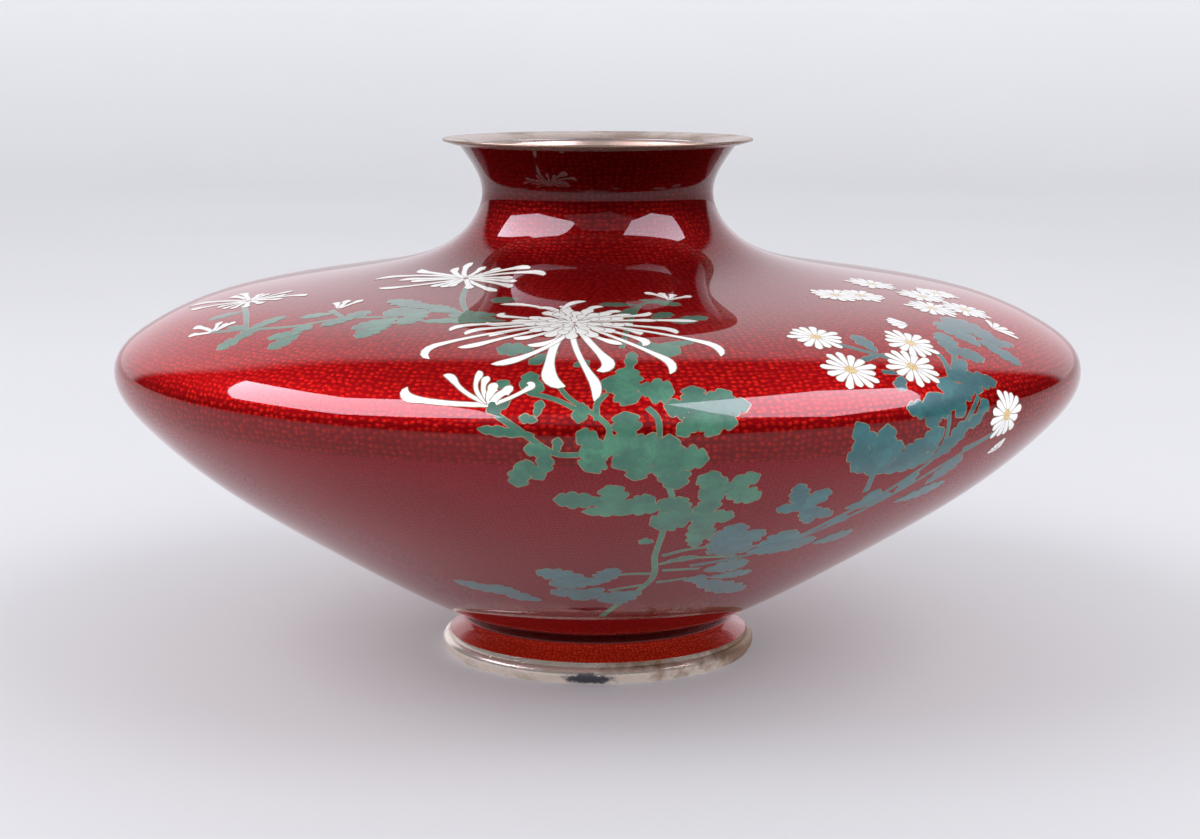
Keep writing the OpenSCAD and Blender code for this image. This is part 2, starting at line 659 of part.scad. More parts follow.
module rear_mum_wires() {
    color(silver_colour) petal_wires(rear_mum, rear_petals, 2.1, 3.5, 3);
}

side_mum = [-69, 38, 0];
side_petals = [
    [-130, 19, 10, 40], [-112, 25, 0, -40], [-95, 15, -20, 60], [-82, 16, 0, -60],
    [-55, 8, 0, 40], [-34, 7, 0, 0], [-3, 11, 0, 60], [20, 9, 0, -40], [38, 16, 20, 60],
    [52, 10, 0, 0], [80, 8, 0, 0], [110, 8, 0, 40], [140, 7, 0, 0], [170, 7, 0, 0],
    [-155, 8, 0, 0]
];

module side_mum_petals() {
    color(petal_white) petals(side_mum, side_petals, 2, 1.8);
}

module side_mum_wires() {
    color(silver_colour) petal_wires(side_mum, side_petals, 2, 3.2, 3);
}

// A flower seen from the side: its petals fan out from the calyx
profile_mum = [-10.6, 7.4, 0];
profile_petals = [
    [-83, 22, 20, 110, 0.75], [-49, 15.5, 50, -70, 0.6], [-22, 12.5, 90, -70, 0.55],
    [-17, 9.5, 60, 0, 0.6], [50, 11, -30, -160, 0.6], [0, 6, 60, 60, 1.1], [38, 6, 60, 40, 1.1]
];

module profile_mum_petals() {
    color(petal_white) petals(profile_mum, profile_petals, 2.8, 1.4);
}

small_mum = [-57.5, 22, 0];
small_petals = [[-112, 8, 0, 30], [-88, 12, -20, 40], [-50, 7, 0, 0], [-20, 5, 0, 0],
                [0, 6, 0, 0]];

module small_mum_petals() {
    color(petal_white) petals(small_mum, small_petals, 1.8, 1.2, 3);
}

// Buds: each is its place and its petals
buds = [[[14.3, 61.5, 0],
        [[-30, 8, -40, 0], [-5, 6, 0, 0], [25, 5, 0, 0], [65, 6.5, 20, 40]]],
        [[-45.5, 44.5, 0],
        [[-55, 7, 0, 30], [-35, 8, 0, 0], [-8, 8, 0, 60]]]];

module bud_petals() {
    color(petal_white) for (bud = buds) petals(bud[0], bud[1], 1.8, 1, 3);
}

// ---- Daisies ----

// Open daisies: [azimuth, rise, radius]
daisies = [
    [29.3, 30, 6.8], [29.2, 15.5, 7], [41.7, 23, 6.8], [37.7, 14.5, 7], [48.7, -1.5, 6.4],
    [50.5, 55.5, 6.5], [55.5, 52.5, 6.5], [70.5, 57, 7], [68, 43.5, 6.8], [60, 37, 7],
    [66, 32, 6.8], [75, 42, 6]
];
// Daisies seen from the side, and buds: [azimuth, rise, heading, reach, half spread]
half_daisies = [[61.5, 22, 100, 6.5, 45], [47, 31.5, -60, 5, 45], [51.5, -12, -60, 4, 35]];
daisy_eye_r = 1.9;
// Half width of an eye's cut-off ends, over its radius
eye_end_w = 0.25;
// Widest a daisy's petal gets, and how much of its sector it fills
daisy_petal_w = 1.7;
daisy_fill = 0.86;

module daisy_white_petals() {
    color(petal_white) {
        for (d = daisies, k = [0 : daisy_petals - 1])
            tile([d[0], d[1], 360 * k / daisy_petals],
                daisy_petal_rows(daisy_eye_r + 0.15, d[2], 360 / daisy_petals));
        for (h = half_daisies, k = [-2 : 2])
            tile([h[0], h[1], h[2] + h[4] * k / 2], daisy_petal_rows(1, h[3], 20));
    }
}

// One petal of a daisy, inside its own sector
function daisy_petal_rows(root, reach, sector) = [for (t = [0, 1])
    let (x = root + (reach - root) * t, half = min(x * tan(sector / 2) * daisy_fill, daisy_petal_w / 2))
    [[x, -half], [x, half]]];

module daisy_yellow_centres() {
    color(centre_yellow) for (d = daisies)
        tile([d[0], d[1], 0], [for (x = [-1, -0.5, 0.5, 1])
            let (half = daisy_eye_r * sqrt(eye_end_w ^ 2 + 1 - x * x))
            [[x * daisy_eye_r, -half], [x * daisy_eye_r, half]]]);
}

copper_lower_bowl();
copper_shoulder();
copper_neck();
copper_foot_ring();
girth_solder();
neck_solder();
foot_solder();
silver_foil_belly();
silver_foil_shoulder();
silver_foil_neck();
silver_foil_foot();
red_enamel_body();
red_enamel_foot();
counter_enamel_inside();
counter_enamel_base();
silver_mouth_rim();
silver_foot_rim();
spider_mum_petals();
spider_mum_wires();
spider_mum_heart();
rear_mum_petals();
rear_mum_wires();
side_mum_petals();
side_mum_wires();
profile_mum_petals();
small_mum_petals();
bud_petals();
daisy_white_petals();
daisy_yellow_centres();
front_leaves();
front_leaf_wires();
low_leaves();
low_leaf_wires();
right_leaves();
right_leaf_wires();
rear_leaves();
rear_leaf_wires();
slim_leaves();
front_stems();
right_stems();
rear_stems();
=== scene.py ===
import math

import bpy
import numpy as np
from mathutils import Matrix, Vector


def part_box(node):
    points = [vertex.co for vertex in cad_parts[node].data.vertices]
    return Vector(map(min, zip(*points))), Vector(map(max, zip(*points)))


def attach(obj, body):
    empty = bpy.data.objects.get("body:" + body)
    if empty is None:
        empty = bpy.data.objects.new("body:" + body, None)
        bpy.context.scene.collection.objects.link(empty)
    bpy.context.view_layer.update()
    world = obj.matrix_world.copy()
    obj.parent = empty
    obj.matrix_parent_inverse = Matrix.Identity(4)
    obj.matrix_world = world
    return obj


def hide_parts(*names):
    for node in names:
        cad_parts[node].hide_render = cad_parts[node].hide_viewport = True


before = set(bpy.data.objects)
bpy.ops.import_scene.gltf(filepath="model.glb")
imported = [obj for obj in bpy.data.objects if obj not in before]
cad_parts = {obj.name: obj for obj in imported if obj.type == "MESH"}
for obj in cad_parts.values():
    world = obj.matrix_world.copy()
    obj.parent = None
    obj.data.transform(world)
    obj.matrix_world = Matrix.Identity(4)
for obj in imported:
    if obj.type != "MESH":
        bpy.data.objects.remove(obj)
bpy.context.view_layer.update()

# The vase is a figure of revolution about +Z. As in the CAD model, a place on its skin is
# (azimuth, rise): azimuth in degrees from the front (-Y) to the right (+X), and rise in
# millimetres along the profile, 0 at the widest girth and positive towards the mouth. A
# heading is a compass angle on the skin: 0 to the mouth, 90 right, 180 to the foot.
# Lengths are millimetres until a mesh is made, which is in metres.
MM = 0.001

# ---- Dimensions, as in the CAD model ----

# Control points (radius, height) of the outer profile, from the foot to the neck's top
PROFILE_KNOTS = [
    (38, 5), (31, 9.5), (42, 13), (75, 33), (99.5, 49), (114.5, 63), (120.5, 71), (120, 78.5),
    (112.5, 84), (98.5, 91), (74, 95), (47, 99), (35.5, 104), (29.5, 111), (28, 119),
    (34.5, 128)]
ENAMEL = 0.8  # thickness of the red enamel
METAL_IN = 2.3  # depth of the copper's inner face
INSIDE = 2.8  # depth of the lining's inner face
FOOT_BAND = 6.6  # length of the orange-red foot band along the profile
CORE_GAP = 2.0  # how far below the enamel's top edge the metal ends
NECK_BAND = 32.0  # length of the neck's foil along the profile

LIP_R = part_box("silver_mouth_rim")[1].x / MM
LIP_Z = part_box("silver_mouth_rim")[1].z / MM
FOOT_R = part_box("silver_foot_rim")[1].x / MM
REST_R = 38.9  # outer radius of the ring that the vase stands on
FOOT_BEAD = 1.95  # radius of the foot's bead
RIM_T = 0.5  # thickness of the rims' silver
SLEEVE = 5.0  # how far the mouth rim reaches down the inside of the neck
SHOULDER_START = -6  # rise of the seam between the belly's and the shoulder's foil

# Heights of the layers of a cell over the red ground
WIRE_TOP = 0.015
CELL_TOP = 0.03
PETAL_LIFT = 0.04  # of the flowers over the leaves
CELL_BED = -0.12
LAYER_STEP = 0.002  # between cells that cross, so that each has its own height
WIRE_W = 0.2
WIRE_OVERLAP = 0.02  # of a leaf's wire under its cell
PETAL_WIRE_W = 0.18
DAISY_WIRE_W = 0.16
STEM_W = 1.15

AROUND = 288  # facets round the vase
GORES = 12  # strips of foil round the vase

# ---- The skin ----


def spline_profile(per_span):
    """Points of a uniform cubic B-spline through the knots, with its end knots repeated."""
    first, last = PROFILE_KNOTS[0], PROFILE_KNOTS[-1]
    knots = np.array([first, first, *PROFILE_KNOTS, last, last], float)
    points = []
    for k in range(len(knots) - 3):
        for u in np.arange(per_span) / per_span:
            weights = np.array([
                (1 - u) ** 3, 3 * u ** 3 - 6 * u ** 2 + 4, 1 + 3 * u + 3 * u ** 2 - 3 * u ** 3,
                u ** 3]) / 6
            points.append(weights @ knots[k:k + 4])
    return np.array(points + [last])


PROFILE = spline_profile(24)
_travel = np.concatenate([[0], np.cumsum(np.hypot(*np.diff(PROFILE, axis=0).T))])
RISE = _travel - _travel[PROFILE[:, 0].argmax()]
SLOPE = np.gradient(PROFILE[:, 0], RISE)
CLIMB = np.gradient(PROFILE[:, 1], RISE)
FOOT_END, NECK_END = RISE[0], RISE[-1]
CREASE = FOOT_END + FOOT_BAND
NECK_START = NECK_END - NECK_BAND


def radius(s):
    return np.interp(s, RISE, PROFILE[:, 0])


def outward(s):
    """(radial, vertical) parts of the skin's outward normal at rise s."""
    slope, climb = np.interp(s, RISE, SLOPE), np.interp(s, RISE, CLIMB)
    size = np.hypot(slope, climb)
    return climb / size, -slope / size


def below(s, depth):
    """(radius, height) at rise s and some depth below the skin."""
    radial, vertical = outward(s)
    return radius(s) - depth * radial, np.interp(s, RISE, PROFILE[:, 1]) - depth * vertical


def on_skin(azimuth, s, lift):
    """Points in metres, and the skin's normals there."""
    a = np.radians(azimuth)
    r, z = below(s, -np.asarray(lift))
    radial, vertical = outward(s)
    points = np.stack([r * np.sin(a), -r * np.cos(a), z + 0 * a], -1) * MM
    normals = np.stack([radial * np.sin(a), -radial * np.cos(a), vertical + 0 * a], -1)
    return points, normals


def walk(azimuth, s, heading, distance, steps=10):
    """Walks straight over the skin from (azimuth, s), and returns where that ends."""
    a, h = np.radians(azimuth) + 0 * distance, np.radians(heading)
    s = s + 0 * distance
    step = distance / steps
    for _ in range(steps):
        turn = np.interp(s, RISE, SLOPE) * np.sin(h) / radius(s) * step
        middle = s + np.cos(h - turn / 2) * step / 2
        a = a + np.sin(h - turn / 2) / radius(middle) * step
        s = s + np.cos(h - turn / 2) * step
        h = h - turn
    return np.degrees(a), s


def seen_from(place, points):
    """Places of (ahead, aside) points as seen from a place (azimuth, rise, heading)."""
    points = np.asarray(points, float)
    heading = place[2] + np.degrees(np.arctan2(points[..., 1], points[..., 0]))
    return walk(place[0], place[1], heading, np.hypot(points[..., 0], points[..., 1]))


# ---- Meshes ----


def drawing(t, across):
    """The drawing of a tile: (along, across) for each of its rows and columns."""
    return np.stack([t[:, None] + 0 * across, across + 0 * t[:, None]], -1)


class Cells:
    """Gathers thin closed tiles that lie on the skin into one mesh."""

    def __init__(self):
        self.points, self.faces, self.smooth = [], [], []
        self.normals, self.uvs, self.tints = [], [], []
        self.count = 0

    def tile(self, azimuth, s, top, uv, tint, ring=False, bed=CELL_BED):
        """A tile over an n by m grid of places. A ring joins its last row to its first."""
        n, m = azimuth.shape
        upper, normal = on_skin(azimuth, s, top)
        lower, _ = on_skin(azimuth, s, bed)
        start = self.count
        size = n * m
        self.points += [upper.reshape(-1, 3), lower.reshape(-1, 3)]
        self.count += 2 * size
        normal, uv = normal.reshape(-1, 3), np.asarray(uv, float).reshape(-1, 2)
        i = np.arange(n if ring else n - 1)[:, None]
        j = np.arange(m - 1)[None, :]
        a = (i * m + j).ravel()
        b = ((i + 1) % n * m + j).ravel()
        top_faces = np.stack([a, a + 1, b + 1, b], -1)
        under = top_faces[:, ::-1] + size
        i = i.ravel()
        a, b = i * m, (i + 1) % n * m
        left = np.stack([a, b, b + size, a + size], -1)
        a, b = a + m - 1, b + m - 1
        right = np.stack([a, a + size, b + size, b], -1)
        parts = [under, left, right]
        if not ring:
            j = j.ravel()
            parts.append(np.stack([j, j + size, j + 1 + size, j + 1], -1))
            j = j + (n - 1) * m
            parts.append(np.stack([j, j + 1, j + 1 + size, j + size], -1))
        rest = np.concatenate(parts)
        self.faces.append(np.concatenate([top_faces, rest]) + start)
        self.smooth.append(np.r_[np.ones(len(top_faces), bool), np.zeros(len(rest), bool)])
        flat = np.zeros((4 * len(rest), 3))
        self.normals.append(np.concatenate([normal[top_faces.ravel()], flat]))
        self.uvs.append(uv[np.concatenate([top_faces, rest]).ravel() % size])
        self.tints.append(np.full(2 * size, tint))

    def wire(self, place, edges, top, ring=False):
        """A wire between pairs of (ahead, aside) points, as seen from a place."""
        azimuth, s = seen_from(place, edges)
        self.tile(azimuth, s, top, np.zeros(edges.shape), 0, ring=ring)

    def finish(self, name, material, nodes=(), slot=None):
        faces = np.concatenate(self.faces)
        add_mesh(name, np.concatenate(self.points), faces, material, nodes,
                 smooth=np.concatenate(self.smooth), normals=np.concatenate(self.normals),
                 uvs=np.concatenate(self.uvs), tints=np.concatenate(self.tints))


def add_mesh(name, points, faces, material, nodes=(), smooth=None, normals=None,
             uvs=None, tints=None):
    """A piece on the root body that stands for some CAD nodes."""
    mesh = bpy.data.meshes.new(name)
    mesh.from_pydata(points.tolist(), [], [tuple(f) for f in faces.tolist()])
    if uvs is not None:
        layer = mesh.uv_layers.new(name="drawing")
        layer.data.foreach_set("uv", np.asarray(uvs, np.float32).ravel())
    if tints is not None:
        layer = mesh.attributes.new("tint", "FLOAT", "POINT")
        layer.data.foreach_set("value", np.asarray(tints, np.float32))
    if smooth is None:
        smooth = np.ones(len(mesh.polygons), bool)
    mesh.polygons.foreach_set("use_smooth", smooth)
    if normals is not None:
        mesh.normals_split_custom_set(normals.tolist())
    mesh.materials.append(material)
    piece = bpy.data.objects.new(name, mesh)
    bpy.context.scene.collection.objects.link(piece)
    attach(piece, "root")
    if nodes:
        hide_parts(*nodes)
    return piece


def lathe(name, outline, material, nodes, sharp=35):
    """A closed outline of (radius, height) points, turned about +Z."""
    outline = np.array(outline, float)
    a = 2 * np.pi * np.arange(AROUND) / AROUND
    n = len(outline)
    points = np.stack([np.outer(np.sin(a), outline[:, 0]), -np.outer(np.cos(a), outline[:, 0]),
                       np.tile(outline[:, 1], (AROUND, 1))], -1).reshape(-1, 3) * MM
    i, j = np.meshgrid(np.arange(AROUND), np.arange(n), indexing="ij")
    k, l = (i + 1) % AROUND, (j + 1) % n
    faces = np.stack([i * n + j, k * n + j, k * n + l, i * n + l], -1).reshape(-1, 4)
    piece = add_mesh(name, points, faces, material, nodes)
    piece.data.set_sharp_from_angle(angle=math.radians(sharp))


def arc(centre, r, start, end, n):
    """Points of an arc, with angles in degrees from the radial direction."""
    a = np.radians(np.linspace(start, end, n))
    return [(centre[0] + r * math.cos(t), centre[1] + r * math.sin(t)) for t in a]


# ---- Materials ----


class Surface:
    """A material on a Principled shader, with short ways to add nodes."""

    def __init__(self, name, **sockets):
        self.material = bpy.data.materials.new(name)
        self.material.use_nodes = True
        self.tree = self.material.node_tree
        self.shader = self.tree.nodes["Principled BSDF"]
        for key, value in sockets.items():
            self.shader.inputs[key.replace("_", " ")].default_value = value

    def add(self, kind, inputs=None, **settings):
        node = self.tree.nodes.new("ShaderNode" + kind)
        for key, value in settings.items():
            setattr(node, key, value)
        for key, value in (inputs or {}).items():
            self.set(node.inputs[key], value)
        return node

    def set(self, socket, value):
        if isinstance(value, bpy.types.NodeSocket):
            self.tree.links.new(value, socket)
        else:
            socket.default_value = value

    def math(self, operation, *values, clamp=False):
        node = self.add("Math", dict(enumerate(values)), operation=operation, use_clamp=clamp)
        return node.outputs[0]

    def mix(self, factor, a, b):
        node = self.add("Mix", {0: factor, 6: a, 7: b}, data_type="RGBA")
        return node.outputs[2]

    def ramp(self, factor, low, high):
        """0 at low and 1 at high, smooth between."""
        node = self.add("MapRange", {0: factor, 1: low, 2: high}, interpolation_type="SMOOTHSTEP")
        return node.outputs[0]

    def place(self):
        """The point of the vase that is being coloured, in metres."""
        return self.add("TexCoord").outputs["Object"]

    def noise(self, scale, detail=3.0, roughness=0.5):
        inputs = {"Vector": self.place(), "Scale": scale, "Detail": detail,
                  "Roughness": roughness}
        return self.add("TexNoise", inputs).outputs[0]

    def drawing(self):
        return self.add("UVMap", uv_map="drawing").outputs[0]

    def tint(self):
        return self.add("Attribute", attribute_name="tint").outputs["Fac"]

    def bump(self, height, distance, strength=1.0):
        node = self.add("Bump", {"Height": height, "Distance": distance, "Strength": strength})
        self.set(self.shader.inputs["Normal"], node.outputs[0])

    def paint(self, **sockets):
        for key, value in sockets.items():
            self.set(self.shader.inputs[key.replace("_", " ")], value)
        return self.material


def rgb(r, g, b):
    return (r, g, b, 1.0)


GLASS_COAT = dict(Coat_Weight=1.0, Coat_Roughness=0.03, Coat_IOR=1.37)


def foil_enamel(name, deep, bright, pitch, sparkle, dark_band, roughness=0.58, metallic=0.9):
    """Clear coloured enamel over silver foil that is stippled in rows of dots. Between two
    heights its colour is darkened by an amount, which the three numbers after sparkle give:
    painted shade in the crease over the foot, and darker towards the top on the neck."""
    m = Surface(name, Metallic=metallic, Roughness=roughness, Specular_IOR_Level=0.2,
                Specular_Tint=rgb(1.0, 0.32, 0.38), **GLASS_COAT)
    uv = m.drawing()
    # The rows wander a little, as the foil was stippled by hand
    wobble = m.add("TexNoise", {"Vector": uv, "Scale": 1.2, "Detail": 2.0}).outputs["Color"]
    moved = m.add("VectorMath", {0: wobble, 1: (0.12, 0.12, 0.0)}, operation="MULTIPLY")
    where = m.add("VectorMath", {0: uv, 1: moved.outputs[0]}, operation="ADD").outputs[0]
    wide = m.add("VectorMath", {0: where, 1: (0.8, 1.0, 1.0)}, operation="MULTIPLY").outputs[0]
    cells = m.add("TexVoronoi", {"Vector": wide, "Scale": 10 / pitch, "Randomness": 0.5},
                  voronoi_dimensions="2D")
    dot = m.ramp(cells.outputs["Distance"], 0.5, 0.12)
    own = m.add("SeparateColor", {0: cells.outputs["Color"]}).outputs[0]
    glint = m.math("MULTIPLY", dot, m.math("MULTIPLY_ADD", own, 0.65, 0.35))
    patch = m.ramp(m.noise(28.0), 0.35, 0.7)
    cloud = m.ramp(m.noise(9.0), 0.3, 0.75)
    ground = m.mix(m.math("MULTIPLY", patch, 0.35), rgb(*deep), rgb(*(0.6 * c for c in deep)))
    lit = m.math("MULTIPLY", glint, m.math("MULTIPLY_ADD", cloud, 0.3, sparkle), clamp=True)
    colour = m.mix(lit, ground, rgb(*bright))
    # Painted shade: between two heights the colour is darkened towards a very dark red
    height = m.add("SeparateXYZ", {0: m.place()}).outputs[2]
    darkening = m.math("MULTIPLY", m.ramp(height, dark_band[0] * MM, dark_band[1] * MM), dark_band[2])
    colour = m.mix(darkening, colour, rgb(*(0.08 * c for c in deep)))
    m.bump(m.math("MULTIPLY", dot, m.math("MULTIPLY_ADD", own, 0.5, 0.5)), 0.00016, 0.6)
    return m.paint(Base_Color=colour)


def cell_enamel(name, colour, shade, rim, mottle=0.5):
    """Half opaque enamel of a leaf: mottled, darker towards its veins, paler at its rim.
    The drawing holds (along, across), across being 0 on the midrib and 1 at the edge."""
    m = Surface(name, Roughness=0.4, Specular_IOR_Level=0.3, **GLASS_COAT)
    split = m.add("SeparateXYZ", {0: m.drawing()})
    along, across = split.outputs[0], m.math("ABSOLUTE", split.outputs[1])
    cloud = m.noise(240.0, 4.0, 0.6)
    base = m.mix(m.math("MULTIPLY", m.ramp(cloud, 0.35, 0.7), mottle), rgb(*colour), rgb(*shade))
    base = m.mix(m.math("MULTIPLY", m.tint(), 0.7), base, rgb(*shade))
    # Side veins run forward from the midrib
    phase = m.math("MULTIPLY_ADD", across, -0.18, along)
    wave = m.math("FRACT", m.math("MULTIPLY", phase, 5.0))
    vein = m.ramp(m.math("ABSOLUTE", m.math("SUBTRACT", wave, 0.5)), 0.1, 0.0)
    fade = m.ramp(across, 0.95, 0.3)
    base = m.mix(m.math("MULTIPLY", m.math("MULTIPLY", vein, fade), 0.5), base, rgb(*shade))
    base = m.mix(m.math("MULTIPLY", m.ramp(across, 0.72, 1.0), 0.35), base, rgb(*rim))
    m.bump(cloud, 0.00003, 0.4)
    return m.paint(Base_Color=base)


def petal_enamel(name, white, grey):
    """Opaque white enamel, a little greyer along a petal's edges and at its root."""
    m = Surface(name, Roughness=0.35, Specular_IOR_Level=0.3, **GLASS_COAT)
    split = m.add("SeparateXYZ", {0: m.drawing()})
    across = m.math("ABSOLUTE", split.outputs[1])
    cloud = m.noise(420.0, 3.0, 0.55)
    edge = m.math("MULTIPLY", m.ramp(across, 0.65, 1.0), 0.35)
    root = m.math("MULTIPLY", m.ramp(split.outputs[0], 0.4, 0.0), 0.12)
    base = m.mix(m.math("MAXIMUM", edge, root), rgb(*white), rgb(*grey))
    base = m.mix(m.math("MULTIPLY", m.ramp(cloud, 0.45, 0.75), 0.12), base, rgb(*grey))
    base = m.mix(m.math("MULTIPLY", m.tint(), 0.08), base, rgb(*grey))
    m.bump(cloud, 0.00002, 0.3)
    return m.paint(Base_Color=base)


def silver(name, bright, toned, reach, metallic, bead_r=0, blot=None):
    """Polished silver with warm toning that gathers in patches. A bead outside bead_r has
    gone tan; a blot is a dark stain at a point, and its half width and half height."""
    m = Surface(name, Metallic=metallic, Roughness=0.3)
    patches = m.ramp(m.noise(38.0, 5.0, 0.65), 0.62 - reach, 0.62)
    fine = m.noise(900.0, 3.0, 0.6)
    scratches = m.noise(160.0, 6.0, 0.8)
    colour = m.mix(patches, rgb(*bright), rgb(*toned))
    colour = m.mix(m.math("MULTIPLY", m.ramp(scratches, 0.5, 0.8), 0.3), colour, rgb(*toned))
    m.bump(fine, 0.00001, 0.35)
    if bead_r:
        where = m.add("VectorMath", {0: m.place(), 1: (1.0, 1.0, 0.0)},
                      operation="MULTIPLY").outputs[0]
        out = m.add("VectorMath", {0: where}, operation="LENGTH").outputs["Value"]
        colour = m.mix(m.ramp(out, (bead_r - 0.8) * MM, (bead_r - 0.4) * MM), colour,
                       rgb(*toned))
    if blot:
        centre, wide, high = blot
        where = m.add("VectorMath", {0: m.place(), 1: tuple(c * MM for c in centre)},
                      operation="SUBTRACT")
        where = m.add("VectorMath", {0: where.outputs[0],
                                     1: (1 / (wide * MM), 1 / (wide * MM), 1 / (high * MM))},
                      operation="MULTIPLY").outputs[0]
        away = m.add("VectorMath", {0: where}, operation="LENGTH").outputs["Value"]
        ragged = m.math("MULTIPLY_ADD", m.noise(420.0, 4.0, 0.7), 1.6, away)
        colour = m.mix(m.ramp(ragged, 1.95, 1.4), colour, rgb(0.1, 0.1, 0.12))
    rough = m.math("MULTIPLY_ADD", patches, 0.18, 0.26)
    return m.paint(Base_Color=colour, Roughness=rough)


def wire_silver():
    """Thin silver wire under glass, which has gone tan."""
    m = Surface("wire_silver", Metallic=0.35, Roughness=0.4, **GLASS_COAT)
    grain = m.noise(700.0, 3.0)
    base = m.mix(m.ramp(grain, 0.35, 0.7), rgb(0.33, 0.22, 0.13), rgb(0.17, 0.1, 0.06))
    return m.paint(Base_Color=base)


def lining_enamel():
    """Grey-blue counter enamel, speckled, with fine pits."""
    m = Surface("lining_enamel", Roughness=0.25, Coat_Weight=0.6, Coat_Roughness=0.08)
    speck = m.add("TexVoronoi", {"Vector": m.place(), "Scale": 900.0})
    cloud = m.ramp(m.noise(60.0, 4.0), 0.35, 0.7)
    base = m.mix(cloud, rgb(0.1, 0.13, 0.2), rgb(0.16, 0.19, 0.27))
    base = m.mix(m.ramp(speck.outputs["Distance"], 0.3, 0.12), base, rgb(0.3, 0.33, 0.4))
    m.bump(m.noise(500.0, 2.0), 0.00005, 0.5)
    return m.paint(Base_Color=base)


def bare_metal(name, colour, dark, rough):
    """Metal that is hidden in the wall, with a dull grain."""
    m = Surface(name, Metallic=1.0, Roughness=rough)
    grain = m.noise(300.0, 5.0, 0.7)
    base = m.mix(m.ramp(grain, 0.3, 0.75), rgb(*colour), rgb(*dark))
    m.bump(grain, 0.00003, 0.5)
    return m.paint(Base_Color=base)


# ---- The ground ----


def ground(name, s0, s1, material, nodes, slot):
    """The red enamel from rise s0 to s1, as a closed shell. Its drawing is laid out in
    centimetres along and across a gore of foil."""
    rows = np.linspace(s0, s1, max(6, int(round((s1 - s0) / 1.25))) + 1)
    n = len(rows)
    column = np.arange(AROUND + 1)
    az = 360.0 * column / AROUND - 180.0
    outer, normal = on_skin(az[None, :-1], rows[:, None], 0.0)
    inner, _ = on_skin(az[None, :-1], rows[:, None], -ENAMEL)
    i, j = np.meshgrid(np.arange(n - 1), np.arange(AROUND), indexing="ij")
    k = (j + 1) % AROUND
    size = n * AROUND
    face = np.stack([i * AROUND + j, i * AROUND + k, (i + 1) * AROUND + k,
                     (i + 1) * AROUND + j], -1).reshape(-1, 4)
    j, k = np.arange(AROUND), (np.arange(AROUND) + 1) % AROUND
    low = np.stack([j, j + size, k + size, k], -1)
    high = np.stack([j, k, k + size, j + size], -1) + (n - 1) * AROUND
    faces = np.concatenate([face, face[:, ::-1] + size, low, high])
    gore = (column[:-1] // (AROUND // GORES)) % GORES
    middle = np.radians(az[0] + 360.0 / GORES * (gore + 0.5))
    low_row, high_row = rows[:-1, None], rows[1:, None]
    left, right = np.radians(az[:-1]) - middle, np.radians(az[1:]) - middle
    corners = []
    for angle, s in ((left, low_row), (right, low_row), (right, high_row), (left, high_row)):
        corners.append(np.stack([angle * radius(s) / 10 + gore * 20.0, s / 10 + 0 * angle], -1))
    uv = np.stack(corners, 2).reshape(-1, 2)
    filler = np.zeros((4 * (len(faces) - len(face)), 2))
    flat = np.zeros((4 * (len(low) + len(high)), 3))
    flipped = (-normal).reshape(-1, 3)[face[:, ::-1].ravel()]
    normals = np.concatenate([normal.reshape(-1, 3)[face.ravel()], flipped, flat])
    smooth = np.r_[np.ones(2 * len(face), bool), np.zeros(2 * AROUND, bool)]
    points = np.concatenate([outer.reshape(-1, 3), inner.reshape(-1, 3)])
    add_mesh(name, points, faces, material, nodes, smooth=smooth, normals=normals,
             uvs=np.concatenate([uv, filler]))


def make_grounds():
    """The red of the belly, shoulder and neck, and the orange-red band of the foot."""
    # The belly darkens towards the crease over the foot: painted shade
    belly = foil_enamel("red_foil_belly", (0.23, 0.003, 0.012), (0.36, 0.008, 0.012), 0.8, 0.5,
                        (12.8, 11.2, 1.0))
    # The colour is made darker up the shoulder, and stays as dark on the neck
    upper = foil_enamel("red_foil_shoulder", (0.17, 0.001, 0.002), (0.46, 0.014, 0.006), 1.3, 0.5,
                        (88, 102, 0.6))
    neck = foil_enamel("red_foil_neck", (0.17, 0.001, 0.002), (0.46, 0.014, 0.006), 1.2, 0.6,
                       (88, 102, 0.6))
    # The foot band darkens up towards the crease under the belly: painted shade
    foot = foil_enamel("orange_foil_foot", (0.42, 0.014, 0.005), (0.85, 0.07, 0.02), 0.8, 0.5,
                       (8.0, 9.2, 1.0), roughness=0.4, metallic=0.35)
    ground("red_ground_belly", CREASE, SHOULDER_START, belly, ["red_enamel_body"],
           "red_enamel")
    ground("red_ground_shoulder", SHOULDER_START, NECK_START, upper, ["red_enamel_body"],
           "red_enamel")
    ground("red_ground_neck", NECK_START, NECK_END, neck, ["red_enamel_body"], "red_enamel")
    ground("orange_ground_foot", FOOT_END, CREASE, foot, ["red_enamel_foot"],
           "orange_red_enamel")


# ---- Rims ----


def run(s0, s1, depth, n):
    """n points from rise s0 to s1, at some depth below the skin."""
    return [tuple(float(v) for v in below(s, depth)) for s in np.linspace(s0, s1, n)]


